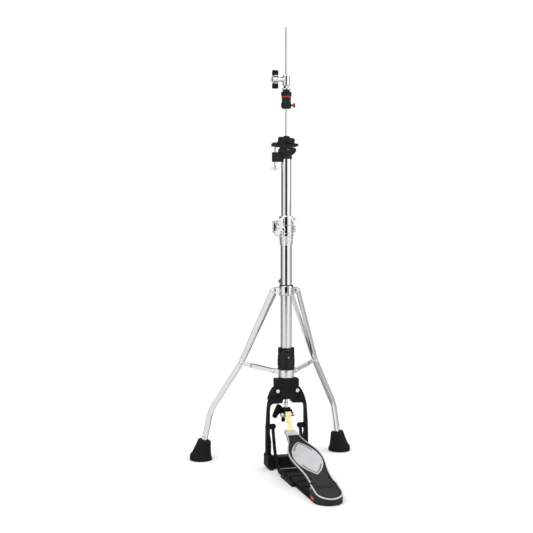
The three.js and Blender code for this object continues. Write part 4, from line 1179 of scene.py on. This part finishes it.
def make_toe_plate():
    start, end, half = BOARD_LENGTH + GAP, BOARD_TOE, 15.8
    corner = eased([(half, start), (half - 1.5, end), (0, end)], [4], 6)[1:-1]
    outline = [(-half, start), (half, start), *both_sides(corner)]
    plate = soft(prism(outline, -BOARD_THICK, 0.2), 0.7, 3)
    screw = lathe([(0, -1), (4.2, -1), (4.2, 1.6), (3.6, 2.6), (2.4, 3), (0, 3)], 48, "z", (0, 257))
    socket = rod(2, 1.6, 4, 6, "z", (0, 257))
    washer = soft(tube(4, 6.2, 0, 0.8, 48, "z", (0, 257)), 0.2)
    whole = merged(plate, soft(carve(screw, socket), 0.3), washer)
    piece("toe_clamp", moved(whole, *BOARD_TURN), "toe_plate")


RUNG_GAPS = ((-50, -80), (-96, -128), (-144, -176), (-196, -224), (-240, -268))
POCKET_HALF = 20
POCKET_ROUND = 4


def make_pedal_base():
    flank = [
        (33, -80), *eased([(33, -80), (42, -90), (42, -184)], [6], 4)[1:],
        *eased([(42, -184), (33.5, -186), (33.5, -320)], [1.2], 2)[1:-1],
    ]
    heel_end = arc((0, -322), 33.5, -4, -176, 24)
    plan = [(-30, -27), (30, -27), *flank, *heel_end, *reversed([(-x, y) for x, y in flank])]
    pockets = []
    w, r = POCKET_HALF, POCKET_ROUND
    for near, far in RUNG_GAPS:
        corners = [
            *arc((w - r, near - r), r, 90, 0, 4), *arc((w - r, far + r), r, 0, -90, 4),
            *arc((r - w, far + r), r, -90, -180, 4), *arc((r - w, near - r), r, 180, 90, 4),
        ]
        pockets.append(prism(corners, 1.2, 5))
    plate = soft(carve(prism(plan, 0, 3), *pockets), 0.5)
    shapes = [plate]
    for s in (-1, 1):
        rim = [(31, -92), (38, -92), (41.5, -97), (41.5, -178), (38, -183), (31, -183)]
        dips = [prism(mirrored([(33.5, a), (39.5, a), (39.5, b), (33.5, b)], s), 9.5, 14)
                for a, b in ((-102, -112), (-163, -175))]
        shapes.append(soft(carve(prism(mirrored(rim, s), 2, 12), *dips), 1.2, 3))
        for y in (-122, -152):
            spike = lathe([(0, 2), (4, 2), (4, 13.6), (3.2, 14.6), (3, 16.6), (1.2, 18), (0, 18)], 32, "z",
                          (37 * s, y))
            shapes.append(soft(spike, 0.3))
        rail = block((24.4, 26.4) if s > 0 else (-26.4, -24.4), (-284, -50), (2.5, 5.4))
        shapes.append(soft(rail, 0.5))
    piece("pedal_base_plate", merged(*shapes), "base_plate")

    slope = math.tan(math.radians(BOARD_SLOPE))
    top = [BOARD_HEEL[1] + (y - BOARD_HEEL[0]) * slope for y in (-370, -291)]
    plan = prism([(-32, -291), (32, -291), *arc((0, -327), 32.2, -6, -174, 32)], 3.3, 60)
    wedge = prism([(-370, 3.3), (-291, 3.3), (-291, top[1]), (-370, top[0])], -40, 40, "x")
    heel = combined(plan, [wedge], "INTERSECT")
    sunk = moved(prism([(-27.5, 6), (27.5, 6), *arc((0, -29), 27.4, -4, -176, 28)], -1.1, 3),
                 *BOARD_TURN)
    tools = [block((-20, 20), (-309, -280), (3, 60)), rod(3 + GAP, -60, 60, 32, "x", HEEL_PIN),
             rod(7.2, -20, 20, 48, "x", HEEL_PIN)]
    piece("heel_plate_body", soft(carve(heel, sunk, *tools), 0.8, 3), "heel_plate",
          look=FINISHES["board_black"])
    loops = []
    for x, y in [(32.1, -294), (32.1, -310), *arc((0, -327), 32.1, 0, -180, 48), (-32.1, -310),
                 (-32.1, -294)]:
        out = Vector((x, min(y + 327, 0))).normalized()
        z = BOARD_HEEL[1] + (y - BOARD_HEEL[0]) * slope
        loops.append([(x + out.x * a, y + out.y * a, z + b) for a, b in
                      ((-2.4, -0.9), (-2.4, 0.2), (-2, 0.6), (-0.4, 0.6), (0.2, 0), (0.2, -1.8),
                       (-0.6, -1.8), (-0.6, -0.9))])
    piece("heel_rim", soft(loft(loops), 0.12), slot="silver_metal", body="stand")
    piece("heel_pin", soft(rod(3, -34.5, 34.5, 32, "x", HEEL_PIN), 0.4), "heel_hinge_pin")

    for name, s in (("left", -1), ("right", 1)):
        low, high = span(f"heel_cap_{name}")
        cap = prism([*arc((low.y + 4, low.z + 5), 4.5, 90, 270, 8),
                     *arc((high.y - 4, low.z + 5), 4.5, -90, 90, 8)], low.x, high.x, "x")
        piece(f"heel_side_cap_{name}", soft(cap, 0.7, 3), f"heel_cap_{name}")
        dot = rod(1.7, *((34.3, 34.9) if s > 0 else (-34.9, -34.3)), 24, "x", ((low.y + high.y) / 2, 9))
        piece(f"heel_cap_dot_{name}", soft(dot, 0.2), slot="silver_metal", body="stand")
        make_side_arm(name, s)


def make_side_arm(name, s):
    def reach(a, b):
        return sorted((a * s, b * s))

    route = smooth_line([(-3, 107), (-12, 78), (-27, 40), (-52, 14), (-84, 8)], 8)
    loops = []
    low, high = reach(33, 40)
    for point, normal in sides_of(route):
        if point.y < 7.9:
            continue
        loop = []
        for across, x in ((-3.4, low), (-4.2, low + 1.6), (-4.2, high - 1.6), (-3.4, high), (3.4, high),
                          (4.2, high - 1.6), (4.2, low + 1.6), (3.4, low)):
            at = point + normal * across
            loop.append((x, at.x, max(at.y, 3.4)))
        loops.append(loop)
    bar = soft(loft(loops), 0.5)
    boss = soft(rod(7, *reach(31, 45.5), 48, "x", (-3, 107)), 0.8, 3)
    foot = soft(block(reach(31.5, 40), (-91, -60), (3.3, 10)), 1.4, 3)
    collar = soft(rod(4.4, *reach(28.5, 32), 32, "x", (-3, 107)), 0.6)
    pin = soft(rod(3, *reach(30, 56), 32, "x", (-3, 107)), 0.5)
    piece(f"side_arm_{name}_body", merged(bar, boss, foot, collar, pin), f"side_arm_{name}")


# ---------------------------------------------------------------- the whole
scene.view_settings.view_transform = "Standard"
make_camera()
make_studio()
lamp("key", (-2.4, -2.6, 3.2), (0, 0, 0.5), 1.6, 55)
lamp("fill", (2.6, -1.8, 1.6), (0, 0, 0.5), 1.8, 18)

make_tubes()
make_tube_clamp()
make_clamp_screw()
make_memory_lock()
make_seat()
make_rods()
make_spring()
make_clutch()
make_sleeve()
make_collars()
make_leg_screw()
make_leg("left")
make_leg("right")
make_frame()
make_drive()
make_strap()
make_footboard()
make_pedal_base()
